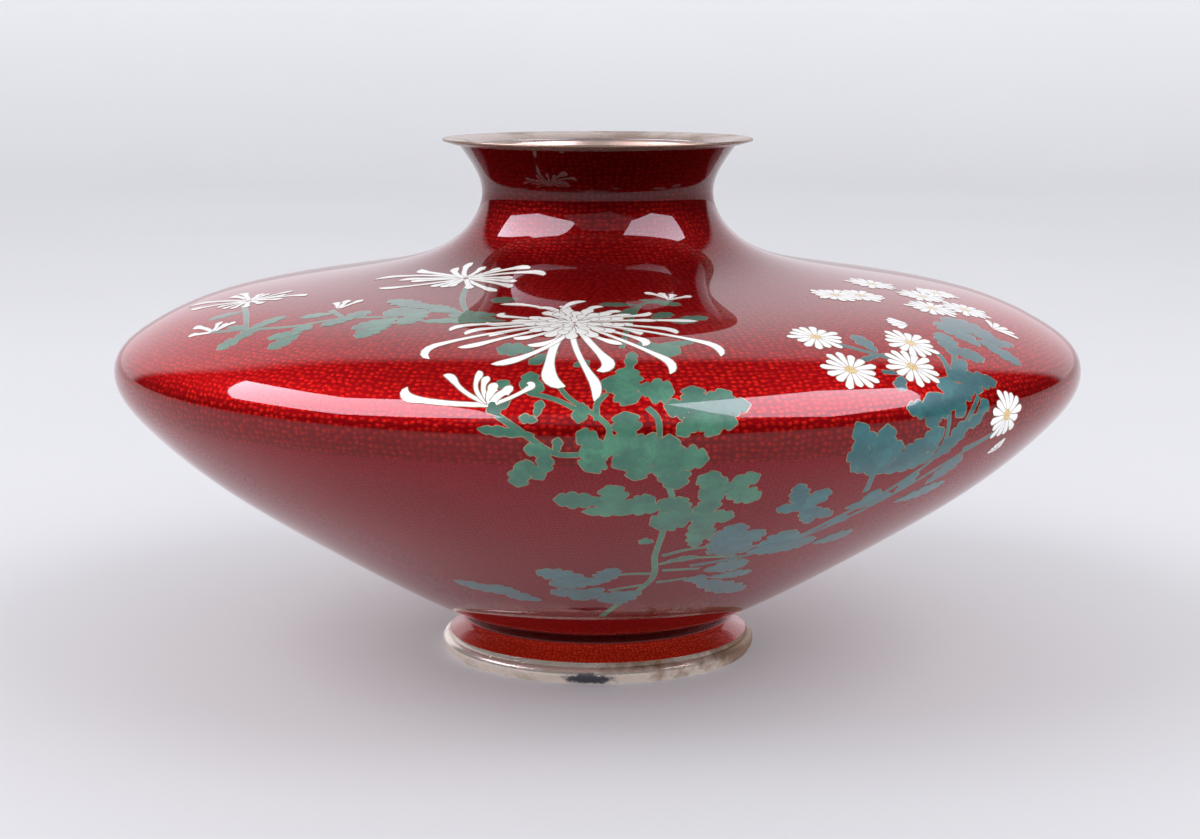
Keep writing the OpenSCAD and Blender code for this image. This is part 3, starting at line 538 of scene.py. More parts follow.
def make_rims():
    """The trumpet lip and the rolled foot, each one turned outline."""
    seat = run(NECK_END, NECK_END, 0.0, 1)[0]
    core = NECK_END - CORE_GAP
    bead = 0.7 * RIM_T
    trumpet = [(LIP_R - 1.4, LIP_Z - 0.12), (LIP_R - 2.7, LIP_Z - 0.35),
               (LIP_R - 4.0, LIP_Z - 0.55), (LIP_R - 5.2, LIP_Z - 0.8),
               (LIP_R - 6.9, LIP_Z - 1.4)]
    outline = [seat, (seat[0] + 0.8, seat[1] + 0.12), (seat[0] + 1.5, seat[1] + 0.3)]
    outline += arc((LIP_R - bead, LIP_Z - bead), bead, -70, 110, 12) + trumpet
    outline += run(NECK_END - SLEEVE, NECK_END - 3, INSIDE + RIM_T, 8)[::-1]
    outline += run(NECK_END - SLEEVE, core, INSIDE, 8) + run(core, NECK_END, ENAMEL, 5)
    mouth = silver("mouth_silver", (0.42, 0.32, 0.27), (0.27, 0.19, 0.14), 0.14, 0.6,
                   LIP_R)
    lathe("mouth_rim", outline, mouth, ["silver_mouth_rim"])

    seat_out = run(FOOT_END, FOOT_END, 0.0, 1)[0]
    seat_in = run(FOOT_END, FOOT_END, METAL_IN, 1)[0]
    centre = (FOOT_R - FOOT_BEAD, FOOT_BEAD + 0.2)
    outline = [seat_in, (REST_R - 2.5, 0.4), (REST_R - 2.1, 0.0), (REST_R, 0.0)]
    outline += arc(centre, FOOT_BEAD, -45, 72, 16)
    # A fine turned groove parts the bead from the enamel
    outline += [(centre[0] + 0.35, centre[1] + FOOT_BEAD - 0.1),
                (seat_out[0] + 0.15, seat_out[1] - 0.35), seat_out]
    foot = silver("foot_silver", (0.95, 0.85, 0.75), (0.4, 0.26, 0.17), 0.16, 0.75,
                  blot=((-2.5, -39.8, 1.3), 6.5, 1.5))
    lathe("foot_rim", outline, foot, ["silver_foot_rim"])


# ---- Leaves and stems ----


def lobe_half(t, teeth):
    """Half width of a lobe of width 1 at t along it, with small blunt teeth."""
    tooth = np.abs(np.sin(np.pi * (teeth * t + 0.15))) ** 0.8
    return 0.5 * np.sin(np.pi * t ** 1.2) ** 0.6 * (0.66 + 0.43 * tooth)


def add_lobe(cells, wires, place, length, width, tint, layer, rows=30):
    """One lobe of a leaf, from its inner end at place, with its wire outline."""
    t = 0.5 - 0.5 * np.cos(np.pi * (0.03 + 0.94 * np.arange(rows) / (rows - 1)))
    half = width * lobe_half(t, 2 + (length > 5) + (length > 8) + (length > 11))
    across = np.array([-1, -0.55, 0, 0.55, 1.0])
    # The teeth lean forward
    lean = 0.06 * length * np.abs(across)[None, :] * np.sin(np.pi * t)[:, None]
    grid = np.stack([length * (1.08 * t[:, None] - 0.08) + lean, half[:, None] * across], -1)
    az, s = seen_from(place, grid)
    cells.tile(az, s, CELL_TOP + layer, drawing(t, across), tint)
    edge = np.concatenate([grid[:, -1], grid[::-1, 0]])
    tangent = np.roll(edge, -1, 0) - np.roll(edge, 1, 0)
    out = np.stack([-tangent[:, 1], tangent[:, 0]], -1)
    out /= np.maximum(np.linalg.norm(out, axis=1, keepdims=True), 1e-6)
    if np.sum(out * (edge - edge.mean(0))) < 0:
        out = -out
    ring = np.stack([edge - WIRE_OVERLAP * out, edge + WIRE_W * out], 1)
    # Lower than the cells, so that a leaf's lobes run together
    wires.wire(place, ring, WIRE_TOP, ring=True)


def catmull(path, per_span):
    """A smooth curve through the places of a path."""
    p = np.array([path[0], *path, path[-1]], float)
    points = []
    for k in range(1, len(p) - 2):
        for u in np.arange(per_span) / per_span:
            a, b, c, d = p[k - 1], p[k], p[k + 1], p[k + 2]
            points.append(b + u * ((c - a) / 2 + u * (a - 2.5 * b + 2 * c - d / 2
                                                      + u * (1.5 * (b - c) + (d - a) / 2))))
    return np.array(points + [p[-1]])


def add_stem(cells, wires, path, tint, layer):
    """A stem along a path of places, with a wire down each side."""
    curve = catmull(path, 8)
    step = np.gradient(curve, axis=0)
    heading = np.degrees(np.arctan2(np.radians(step[:, 0]) * radius(curve[:, 1]), step[:, 1]))
    t = np.linspace(0, 1, len(curve))
    half = STEM_W / 2 * (1.1 - 0.3 * t)

    def edge(offset):
        return walk(curve[:, 0], curve[:, 1], heading + 90, offset)

    left, right = edge(-half), edge(half)
    az = np.stack([left[0], curve[:, 0], right[0]], -1)
    s = np.stack([left[1], curve[:, 1], right[1]], -1)
    uv = np.stack([np.stack([t] * 3, -1), np.tile([-1.0, 0.0, 1.0], (len(t), 1))], -1)
    cells.tile(az, s, CELL_TOP + layer, uv, tint)
    for side in (-1, 1):
        inner, outer = edge(side * half), edge(side * (half + 0.8 * WIRE_W))
        first, second = (inner, outer) if side > 0 else (outer, inner)
        az = np.stack([first[0], second[0]], -1)
        s = np.stack([first[1], second[1]], -1)
        wires.tile(az, s, WIRE_TOP, np.zeros((len(t), 2, 2)), 0)


# Each lobe of a leaf is (azimuth, rise, heading, length, width) from its inner end
FRONT_LEAVES = [
    # Behind and beside the spider chrysanthemum's low petals
    (-9, 11.5, -45, 4.5, 3), (-7, 11, -5, 7, 4), (-8, 13.5, 105, 5, 4), (-2.5, 20.5, 55, 3.5, 2.5),
    (7, 26.5, -25, 5.5, 4), (6, 29.5, 120, 8, 6.5), (7.5, 29, 75, 8.5, 2.5), (-8, 27, -85, 7.5, 6),
    (-5, 26, -135, 7, 3.5), (3.5, 18.5, 10, 8, 2.5), (3, 10, 5, 10, 6), (3, 12.5, -60, 5.5, 5.5),
    (2, 13, 140, 6, 6), (4.5, 12.5, 100, 7, 7.5),
    # Right of them, over the girth
    (10, 6.5, 0, 6.5, 5.5), (10.5, 7, 60, 8, 4.5), (10, 6.5, 85, 11.5, 5),
    (9.5, 5.5, 105, 9.5, 4.5), (10, 6, 140, 6.5, 5.5), (10.5, 5.5, -75, 8, 5),
    (10.5, 5, -125, 7, 3.5),
    # Under the profile flower
    (-9, 8.5, -125, 5, 3.5), (-6, 5, 10, 4, 2), (-6, 4, -80, 3.5, 2), (-6.5, 1, -85, 11, 2),
    (-4, -2.5, 10, 3, 2), (-4.5, -2.5, -85, 5.5, 3), (-5, -2, -175, 6, 3.5),
    (-7.5, -5.5, -168, 7.5, 4.5), (-7, -5, 150, 6, 3.5), (-1.5, 8, -170, 4.5, 3),
    (-2, 6.5, 105, 2.5, 3),
    # Middle of the belly
    (0.5, -1.5, -60, 6, 4), (0.5, -2.5, -145, 6, 6), (1.5, -2, -100, 7, 5), (3, 0, -5, 6, 6),
    (4.5, -2, -80, 8.5, 5), (4.5, -2, -125, 7.5, 4.5), (4.5, -2, -170, 8.5, 5.5),
    (3.5, 0, 120, 6.5, 6.5), (7, -6, 0, 7, 5), (6.5, -4, 95, 9.5, 6), (7, -3, 165, 11, 6.5),
    (9.5, -4.5, -95, 8.5, 8.5), (14, -14, -60, 8.5, 5.5), (14, -13.5, -125, 7, 6.5),
    (13.5, -14, 60, 8, 5), (13.5, -14, 120, 10, 6), (13, -16, -20, 8.5, 4),
    (12, -15, 160, 7.5, 3.5),
    # Low on the belly
    (0.5, -17.5, -90, 10, 6), (2.5, -19.5, -20, 8, 6), (6.5, -20, -100, 15.5, 4.5),
    (3.5, -19.5, 60, 6, 5), (0, -19, 100, 13.5, 6), (10.5, -23, -55, 9, 6),
    (11, -24, -115, 9.5, 9), (10, -23.5, -20, 7.5, 4), (11.5, -25.5, 15, 8, 5),
    (11.5, -23, 160, 13.5, 4.5), (11.5, -25.5, 170, 14.5, 4), (12, -24.5, 100, 7.5, 5.5),
    (7, -36, -75, 3, 3), (10.5, -47, 75, 6, 3)]
LOW_LEAVES = [
    (-1.5, -59, -65, 12.5, 8), (-0.5, -61.5, 25, 11.5, 5.5), (0.5, -58, -115, 12.5, 7.5),
    (-3, -66, -115, 7.5, 6), (0.5, -64.5, -145, 10.5, 6.5), (7.5, -67.5, -130, 10.5, 9),
    (-16, -70.5, -70, 14.5, 6), (-15, -72, -40, 9, 6), (-12, -74, -65, 8, 6),
    (16, -43.5, 10, 15, 8), (16.5, -43, 40, 13, 8), (15.5, -42.5, 90, 10, 7),
    (17.5, -54.5, 70, 9.5, 8), (19.5, -59.5, 85, 9.5, 5), (17, -61, 130, 20.5, 7),
    (15, -60.5, 80, 5, 4.5)]
RIGHT_LEAVES = [
    # Along the low branch
    (23.5, -44.5, 25, 11, 8), (24.5, -45.5, 70, 12, 7), (22, -44.5, 85, 10.5, 7),
    (24.5, -25, -25, 12, 4.5), (24.5, -24, -85, 6.5, 4), (25, -24.5, 15, 8, 5.5),
    (24.5, -24, 120, 11, 4), (31, -33.5, 45, 4.5, 4), (32.5, -43.5, 70, 9, 6),
    (31.5, -26, 75, 10.5, 5), (33.5, -25.5, 5, 6, 4), (42, -20, 25, 9.5, 6),
    (37.5, -22, 5, 7.5, 4), (39.5, -26.5, 70, 12.5, 5),
    # Under the daisies
    (30.5, -12.5, -30, 16, 6), (30.5, -10.5, 0, 11, 6), (30.5, -10.5, -60, 10, 4.5),
    (30.5, -11.5, -75, 6.5, 3), (29.5, -9.5, 65, 6, 5), (30.5, -12.5, -10, 11, 6.5),
    (31, -12, 20, 9, 6), (33, -11.5, 40, 9.5, 6), (33.5, -10.5, 50, 13, 6),
    (31.5, -12.5, 80, 14.5, 5), (39, -10, 30, 5.5, 5), (39.5, -8.5, 30, 8.5, 5),
    (38, -8.5, -20, 8, 4),
    # Among the daisies
    (37.5, 1.5, -15, 5, 6.5), (37.5, 2, -80, 9, 4), (37.5, 2.5, -130, 5, 5.5),
    (36, 2.5, 95, 6.5, 4), (39.5, 3.5, 25, 7, 6), (39.5, 3.5, 70, 9.5, 4.5),
    (40, 4, 150, 4.5, 4), (39.5, 5.5, -155, 4, 4.5), (41.5, 9.5, 100, 14, 5),
    (42.5, 9.5, 130, 7, 4.5), (35, 11.5, -135, 5, 3), (35, 21.5, 0, 8, 4),
    (46, 16.5, 35, 11, 5.5), (46.5, 18, 120, 8.5, 5.5), (52.5, 18.5, 5, 12, 8),
    (57.5, 17.5, -10, 14.5, 10), (54, 19, 160, 10.5, 5.5), (43.5, 0, 55, 4.5, 3),
    (41.5, -2.5, 70, 6, 3)]
REAR_LEAVES = [
    # Left of the body
    (-50.5, 23.5, -170, 7, 5), (-51.5, 29.5, 165, 8, 5), (-51.5, 25.5, 5, 10, 4.5),
    (-62, 32.5, -145, 8, 4), (-51.5, 26, -90, 9, 2.5), (-42, 28, -120, 7.5, 4),
    (-41.5, 26.5, -160, 7, 5), (-43.5, 28.5, 20, 4.5, 5),
    # Between the side chrysanthemum and the rear one
    (-39, 42.5, -165, 10, 5), (-39.5, 38.5, 5, 7, 5), (-44, 41, -130, 7.5, 4),
    (-32.5, 41.5, -155, 9.5, 5), (-32, 40.5, 180, 12, 6), (-32, 42, -175, 9.5, 6.5),
    (-29.5, 48.5, -105, 9.5, 8), (-29, 48, 180, 10, 6), (-29.5, 51, -70, 15.5, 5.5),
    (-17, 48.5, -95, 10, 6), (-15, 44.5, -95, 17.5, 4), (-16, 62, -105, 6, 5),
    (-23.5, 49.5, -70, 12, 5),
    # Right of the spider chrysanthemum
    (7, 58, -80, 8, 3), (6, 55, -160, 8, 4), (9, 62, 120, 9, 4), (9, 47, 45, 6, 4),
    (12, 45, 75, 8, 4), (16, 46, -110, 7, 4)]
SLIM_LEAVES = [
    (24, -21.5, 150, 12, 3.5), (35.5, 20, -100, 9, 1.5), (41.5, 9, 60, 11.5, 3.5),
    (54, 19, 105, 11.5, 3.5)]

FRONT_STEMS = [
    [(1, -86), (7, -68), (9, -57), (8, -44), (8, -31), (8, -16), (5, -6), (1, -2), (1, 3),
     (-3, 10), (-5, 18)],
    [(9, -55), (4, -55), (0, -59)],
    [(9, -62), (5, -64), (2, -66)],
    [(9, -44), (12, -41), (15, -40)],
    [(9, -49), (14, -46), (21, -47)],
    [(10, -53), (13, -53), (16, -53)],
    [(10, -61), (13, -60), (15, -59)],
    [(-7, 11), (-4, 9), (-1, 5)],
    [(-10, 5), (-7, 1), (-4, -3), (-1, -3)],
    [(5, 7), (6, 4), (6, -2)],
    [(0, 4), (0, 8), (1, 11)]]
RIGHT_STEMS = [
    [(20, -42), (27, -39), (31, -31), (35, -22), (38, -14), (40, -6), (42, 0), (44, 4)],
    [(14, -51), (23, -46), (31, -35), (38, -21), (43, -11), (48, -5)],
    [(32, -20), (31, -12), (31, -9)],
    [(31, 26), (34, 21), (36, 18)],
    [(33, 14), (35, 13), (37, 12)],
    [(44, 19), (43, 14), (41, 8), (39, 2), (39, -6)],
    [(48, -5), (46, -7), (43, -9)],
    [(42, 10), (44, 13), (47, 18)]]
REAR_STEMS = [
    [(-52, 26), (-45, 31), (-40, 39), (-33, 43), (-27, 49), (-16, 46)],
    [(-32, 71), (-27, 60), (-22, 50)],
    [(-67, 36), (-59, 32), (-52, 26)],
    [(-58, 22), (-55, 24), (-52, 26)],
    [(13, 61), (8, 58), (5, 45), (3, 28)],
    [(-46, 43), (-43, 41), (-40, 39)]]

GOLDEN = 0.618034  # spreads tints and layers evenly over a list


def cad_nodes(*names):
    """Those of the names that the CAD model has."""
    return [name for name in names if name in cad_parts]


def spray(side, leaf_word, slot, colour, wire, leaf_list, stem_list):
    """One spray: its leaves, its stems and all their wire."""
    leaves, wires, stems = Cells(), Cells(), Cells()
    for k, (azimuth, s, heading, length, width) in enumerate(leaf_list):
        layer = LAYER_STEP * ((k * 7) % 19)
        add_lobe(leaves, wires, (azimuth, s, heading), length, width, (k * GOLDEN) % 1, layer)
    for k, path in enumerate(stem_list):
        add_stem(stems, wires, path, (k * GOLDEN) % 1, -LAYER_STEP * (1 + k % 4))
    leaves.finish(f"{side}_{leaf_word}_leaves", colour, cad_nodes(side + "_leaves"), slot)
    if stem_list:
        stems.finish(side + "_spray_stems", colour, cad_nodes(side + "_stems"), slot)
    wires.finish(side + "_spray_wires", wire, cad_nodes(side + "_leaf_wires"), "silver_wire")


def make_sprays(wire):
    green = cell_enamel("green_enamel", (0.055, 0.21, 0.125), (0.025, 0.1, 0.07),
                        (0.08, 0.15, 0.1), 0.8)
    teal = cell_enamel("teal_enamel", (0.022, 0.15, 0.16), (0.01, 0.075, 0.09),
                       (0.05, 0.16, 0.15), 0.8)
    blue = cell_enamel("blue_green_enamel", (0.05, 0.16, 0.16), (0.03, 0.09, 0.11),
                       (0.1, 0.17, 0.17), 0.8)
    spray("front", "green", "green_enamel", green, wire, FRONT_LEAVES, FRONT_STEMS)
    spray("low", "blue", "blue_green_enamel", blue, wire, LOW_LEAVES, [])
    spray("right", "teal", "teal_enamel", teal, wire, RIGHT_LEAVES, RIGHT_STEMS)
    spray("rear", "green", "green_enamel", green, wire, REAR_LEAVES, REAR_STEMS)
    spray("slim", "teal", "teal_enamel", teal, wire, SLIM_LEAVES, [])


# ---- Chrysanthemums ----


def petal_spine(heading, reach, bend, curl, root, n):
    """(ahead, aside) points and directions of a petal. It bends evenly on its way out by
    bend degrees, and its tip curls by curl degrees more."""
    t = np.arange(n) / (n - 1)
    late = np.clip((t - 0.76) / 0.24, 0, 1)
    direction = np.radians(heading + bend * (t - 0.42) + curl * late ** 1.2)
    step = (reach - root) / (n - 1)
    go = np.stack([np.cos(direction), np.sin(direction)], -1)
    start = root * np.array([math.cos(direction[0]), math.sin(direction[0])])
    return start + np.concatenate([[[0, 0]], np.cumsum(go[:-1], 0)]) * step, direction, t


def petal_half(t, width):
    """Half width of a petal: slim, with a swollen round tip."""
    body = width / 2 * (0.5 + 0.12 * t + 0.45 * np.exp(-((t - 0.85) / 0.13) ** 2))
    return body * np.sqrt(np.maximum(0.02, 1 - np.maximum(0, (t - 0.9) / 0.1) ** 2))


def add_petal(cells, wires, place, petal, width, root, tint, layer, n=26):
    """One petal of a chrysanthemum, with a wire round it but for its root."""
    heading, reach, bend, curl = petal[:4]
    width *= petal[4] if len(petal) > 4 else 1
    spine, direction, t = petal_spine(heading, reach, bend, curl, root, n)
    half = petal_half(t, width)
    side = np.stack([-np.sin(direction), np.cos(direction)], -1)
    across = np.array([-1, -0.5, 0.0, 0.5, 1.0])
    grid = spine[:, None] + side[:, None] * (half[:, None] * across)[..., None]
    az, s = seen_from(place, grid)
    cells.tile(az, s, CELL_TOP + layer, drawing(t, across), tint)
    edge = np.concatenate([spine + side * half[:, None], (spine - side * half[:, None])[::-1]])
    out = np.concatenate([side, -side[::-1]])
    out[n - 1] = out[n] = (math.cos(direction[-1]), math.sin(direction[-1]))
    ring = np.stack([edge, edge + PETAL_WIRE_W * out], 1)
    wires.wire(place, ring, CELL_TOP + layer - 0.5 * LAYER_STEP)


def add_flower(cells, wires, place, petals, width, root):
    """Petals round a place, each with its own height where they cross."""
    for k, petal in enumerate(petals):
        add_petal(cells, wires, place, petal, width, root, (k * GOLDEN) % 1,
                  PETAL_LIFT + LAYER_STEP * (k % 7))


# Petals are (heading, reach, bend, curl[, width factor])
SPIDER_MUM = (-3.4, 44, 0)
SPIDER_PETALS = [
    (-47, 25, -60, -20), (-35, 16, -50, -70), (-72, 20, 0, 150), (-15, 14, -20, -70),
    (2, 20, 80, 50), (20, 15, 40, 70), (45, 14, 40, 40), (66, 19, 10, -90), (60, 14, 20, 20),
    (81, 27, 8, 0), (80, 18, 6, 10), (-84, 14, -10, -20), (93, 13, 0, 60),
    (-92, 28.5, -6, -90), (-93, 20, 0, 80), (-101, 25, 0, -80), (98, 24, 6, 80),
    (-113, 20, 0, -50), (109, 37.5, 4, 90), (-113, 38.5, -4, -130), (-123, 28, 10, 30),
    (113, 17, 20, 60), (124, 22, 0, 110), (132, 34, -14, 90), (-147, 30, 70, 20, 1.1),
    (-132, 17, 40, 50), (157, 28, -20, 130, 1.4), (140, 18, -50, 0),
    (-174, 33, -24, -80, 1.6), (166, 36, -34, 55, 1.1), (-150, 19, 70, 50)]
REAR_MUM = (-36.8, 76, 0)
REAR_PETALS = [
    (-155, 9, 0, 0), (-128, 21, 20, 40), (-110, 14, 0, 30), (-100, 18, 0, -50),
    (-92, 27, -20, -60), (-78, 20, 0, 60), (-54, 11, 40, 60), (-35, 12, 30, 60),
    (-5, 8, 0, 60), (28, 9, 0, -60), (44, 16, 30, 60), (59, 20, 20, 80), (72, 12, 0, 40),
    (84, 14, 0, -40), (96, 16, 0, 60), (115, 16, -20, 0), (135, 10, 0, 40), (172, 7, 0, 0),
    (-175, 8, 0, 0)]
SIDE_MUM = (-69, 38, 0)
SIDE_PETALS = [
    (-130, 19, 10, 40), (-112, 25, 0, -40), (-95, 15, -20, 60), (-82, 16, 0, -60),
    (-55, 8, 0, 40), (-34, 7, 0, 0), (-3, 11, 0, 60), (20, 9, 0, -40), (38, 16, 20, 60),
    (52, 10, 0, 0), (80, 8, 0, 0), (110, 8, 0, 40), (140, 7, 0, 0), (170, 7, 0, 0),
    (-155, 8, 0, 0)]
PROFILE_MUM = (-10.6, 7.4, 0)
PROFILE_PETALS = [
    (-83, 22, 20, 110, 0.75), (-49, 15.5, 50, -70, 0.6), (-22, 12.5, 90, -70, 0.55),
    (-17, 9.5, 60, 0, 0.6), (50, 11, -30, -160, 0.6), (0, 6, 60, 60, 1.1), (38, 6, 60, 40, 1.1)]
SMALL_MUM = (-57.5, 22, 0)
SMALL_PETALS = [(-112, 8, 0, 30), (-88, 12, -20, 40), (-50, 7, 0, 0), (-20, 5, 0, 0),
                (0, 6, 0, 0)]
BUDS = [((14.3, 61.5, 0), [(-30, 8, -40, 0), (-5, 6, 0, 0), (25, 5, 0, 0), (65, 6.5, 20, 40)]),
        ((-45.5, 44.5, 0), [(-55, 7, 0, 30), (-35, 8, 0, 0), (-8, 8, 0, 60)])]


def make_mums(white, wire):
    """All the chrysanthemums. A flower of the list ends with the width of its petals."""
    petals, wires, heart = Cells(), Cells(), Cells()
    add_flower(petals, wires, SPIDER_MUM, SPIDER_PETALS, 1.95, 2.5)
    # The incurved heart: rings of short petals, each over the last
    rings = [(11, 13, 14, 2.7), (8.4, 11, 0, 2.6), (5.8, 8, 16, 2.5), (3.4, 5, 0, 2.4)]
    for k, (reach, count, start, width) in enumerate(rings):
        for j in range(count):
            petal = (start + 360 * j / count, reach, 0, 60)
            add_petal(heart, wires, SPIDER_MUM, petal, width, 0.5, (j * GOLDEN) % 1,
                      PETAL_LIFT + LAYER_STEP * (7 + 2 * k + j % 2))
    petals.finish("spider_mum_outer_petals", white, ["spider_mum_petals"], "white_enamel")
    heart.finish("spider_mum_incurved_heart", white, ["spider_mum_heart"], "white_enamel")
    wires.finish("spider_mum_outlines", wire, ["spider_mum_wires"], "silver_wire")
    flowers = [
        ("rear_mum", REAR_MUM, REAR_PETALS, 2.1), ("side_mum", SIDE_MUM, SIDE_PETALS, 2.0),
        ("profile_mum", PROFILE_MUM, PROFILE_PETALS, 2.8),
        ("small_mum", SMALL_MUM, SMALL_PETALS, 1.8)]
    for name, place, petal_list, width in flowers:
        petals, wires = Cells(), Cells()
        add_flower(petals, wires, place, petal_list, width, 0.8)
        petals.finish(name + "_white_petals", white, cad_nodes(name + "_petals"), "white_enamel")
        wires.finish(name + "_outlines", wire, cad_nodes(name + "_wires"), "silver_wire")
    petals, wires = Cells(), Cells()
    for place, petal_list in BUDS:
        add_flower(petals, wires, place, petal_list, 1.8, 0.5)
    petals.finish("mum_buds", white, ["bud_petals"], "white_enamel")
    wires.finish("mum_bud_outlines", wire, [], "silver_wire")


# ---- Daisies ----

# Daisies are (azimuth, rise, reach), and half open ones (azimuth, rise, heading, reach, spread)
DAISIES = [
    (29.3, 30, 6.8), (29.2, 15.5, 7), (41.7, 23, 6.8), (37.7, 14.5, 7), (48.7, -1.5, 6.4),
    (50.5, 55.5, 6.5), (55.5, 52.5, 6.5), (70.5, 57, 7), (68, 43.5, 6.8), (60, 37, 7),
    (66, 32, 6.8), (75, 42, 6)]
HALF_DAISIES = [(61.5, 22, 100, 6.5, 45), (47, 31.5, -60, 5, 45), (51.5, -12, -60, 4, 35)]
DAISY_PETALS = 14
DAISY_PETAL_W = 1.95
HALF_DAISY_PETAL_W = 1.6
DAISY_EYE = 1.35  # radius of a daisy's yellow centre


def add_daisy_petal(cells, wires, place, root, reach, width, tint, layer, n=12):
    """One petal of a daisy, which widens to a round tip, with a wire round it."""
    t = np.linspace(0, 1, n)
    x = root + (reach - root) * t
    tip = np.sqrt(np.maximum(0.03, 1 - np.maximum(0, (t - 0.78) / 0.22) ** 2))
    half = width / 2 * ((0.32 + 0.68 * t ** 0.8) * tip)
    across = np.array([-1, -0.4, 0.4, 1.0])
    grid = np.stack([x[:, None] + 0 * across, half[:, None] * across], -1)
    az, s = seen_from(place, grid)
    cells.tile(az, s, CELL_TOP + layer, drawing(t, across), tint)
    edge = np.concatenate([grid[:, -1], grid[::-1, 0]])
    out = np.concatenate([np.tile([0.0, 1.0], (n, 1)), np.tile([0.0, -1.0], (n, 1))])
    ring = np.stack([edge, edge + DAISY_WIRE_W * out], 1)
    wires.wire(place, ring, CELL_TOP + layer - 0.5 * LAYER_STEP)


def make_daisies(white, wire):
    petals, wires, eyes = Cells(), Cells(), Cells()
    for k, (azimuth, s, reach) in enumerate(DAISIES):
        for j in range(DAISY_PETALS):
            heading = 360 * j / DAISY_PETALS + 7 * k
            length = reach * (0.9 + 0.1 * math.sin(2.4 * j + k))
            add_daisy_petal(petals, wires, (azimuth, s, heading), DAISY_EYE * 0.8, length,
                            DAISY_PETAL_W, (j * GOLDEN) % 1,
                            PETAL_LIFT + LAYER_STEP * (3 * (k % 3) + j % 2))
        spread = np.linspace(0, 2 * np.pi, 24, endpoint=False)
        ring = np.stack([np.cos(spread), -np.sin(spread)], -1)
        grid = np.stack([ring * f * DAISY_EYE for f in (0.08, 0.55, 1.0)], 1)
        az, rise = seen_from((azimuth, s, 0), grid)
        uv = np.stack([np.tile([0.0, 0.5, 1.0], (24, 1))] * 2, -1)
        eyes.tile(az, rise, CELL_TOP + PETAL_LIFT + 0.04, uv, (k * GOLDEN) % 1, ring=True)
    for k, (azimuth, s, heading, reach, spread) in enumerate(HALF_DAISIES):
        for j in range(-2, 3):
            add_daisy_petal(petals, wires, (azimuth, s, heading + spread * j / 2), 0.4, reach,
                            HALF_DAISY_PETAL_W, 0.3, PETAL_LIFT + LAYER_STEP * (j + 3))
    yellow = Surface("yellow_enamel", Roughness=0.4, **GLASS_COAT)
    seeds = yellow.add("TexVoronoi", {"Vector": yellow.place(), "Scale": 2200.0})
    tone = yellow.ramp(seeds.outputs["Distance"], 0.2, 0.6)
    yellow.bump(tone, 0.00004, 0.5)
    yellow.paint(Base_Color=yellow.mix(tone, rgb(0.85, 0.68, 0.32), rgb(0.62, 0.42, 0.16)))
    petals.finish("daisy_petals", white, ["daisy_white_petals"], "white_enamel")
    eyes.finish("daisy_eyes", yellow.material, ["daisy_yellow_centres"], "yellow_enamel")
    wires.finish("daisy_outlines", wire, [], "silver_wire")


# ---- CAD nodes that keep their shape ----


def finish_nodes():
    """Materials for the shells, foils, solder and lining, which keep the CAD's shape."""
    copper = bare_metal("spun_copper", (0.78, 0.42, 0.26), (0.5, 0.22, 0.12), 0.35)
    solder = bare_metal("soft_solder", (0.66, 0.66, 0.64), (0.4, 0.4, 0.39), 0.45)
    foil = bare_metal("silver_foil", (0.9, 0.89, 0.86), (0.7, 0.69, 0.66), 0.3)
    lining = lining_enamel()
    for name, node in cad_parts.items():
        if name.startswith("copper"):
            material = copper
        elif name.endswith("solder"):
            material = solder
        elif name.startswith("silver_foil"):
            material = foil
        elif name.startswith("counter_enamel"):
            material = lining
        else:
            continue
        node.data.materials.clear()
        node.data.materials.append(material)


# ---- Stage, light and camera ----

EYE = Vector((0.0006, -0.5863, 0.1558))
PITCH_DOWN = 9.43
LENS_MM = 70.1
FLOOR_R = 1.9
WALL_R = 2.4
STAGE_AROUND = 96  # facets round the floor and the wall
LIT_POINT = Vector((0, 0, 0.08))  # that the lights are aimed at


def direction(azimuth, elevation):
    """A unit vector. Azimuth 0 is towards the front (-Y) and 90 to the right (+X)."""
    a, e = math.radians(azimuth), math.radians(elevation)
    return Vector((math.sin(a) * math.cos(e), -math.cos(a) * math.cos(e), math.sin(e)))


def disc_rings(name, outline, material):
    """An open sheet of (radius, height) rings about +Z, for the stage."""
    outline = np.array(outline)
    a = 2 * np.pi * np.arange(STAGE_AROUND) / STAGE_AROUND
    n = len(outline)
    points = np.stack([np.outer(np.cos(a), outline[:, 0]), np.outer(np.sin(a), outline[:, 0]),
                       np.tile(outline[:, 1], (STAGE_AROUND, 1))], -1).reshape(-1, 3)
    i, j = np.meshgrid(np.arange(STAGE_AROUND), np.arange(n - 1), indexing="ij")
    k = (i + 1) % STAGE_AROUND
    faces = np.stack([i * n + j, i * n + j + 1, k * n + j + 1, k * n + j], -1).reshape(-1, 4)
    mesh = bpy.data.meshes.new(name)
    mesh.from_pydata(points.tolist(), [], [tuple(f) for f in faces.tolist()])
    mesh.polygons.foreach_set("use_smooth", np.ones(len(faces), bool))
    mesh.materials.append(material)
    sheet = bpy.data.objects.new(name, mesh)
    bpy.context.scene.collection.objects.link(sheet)
    return sheet


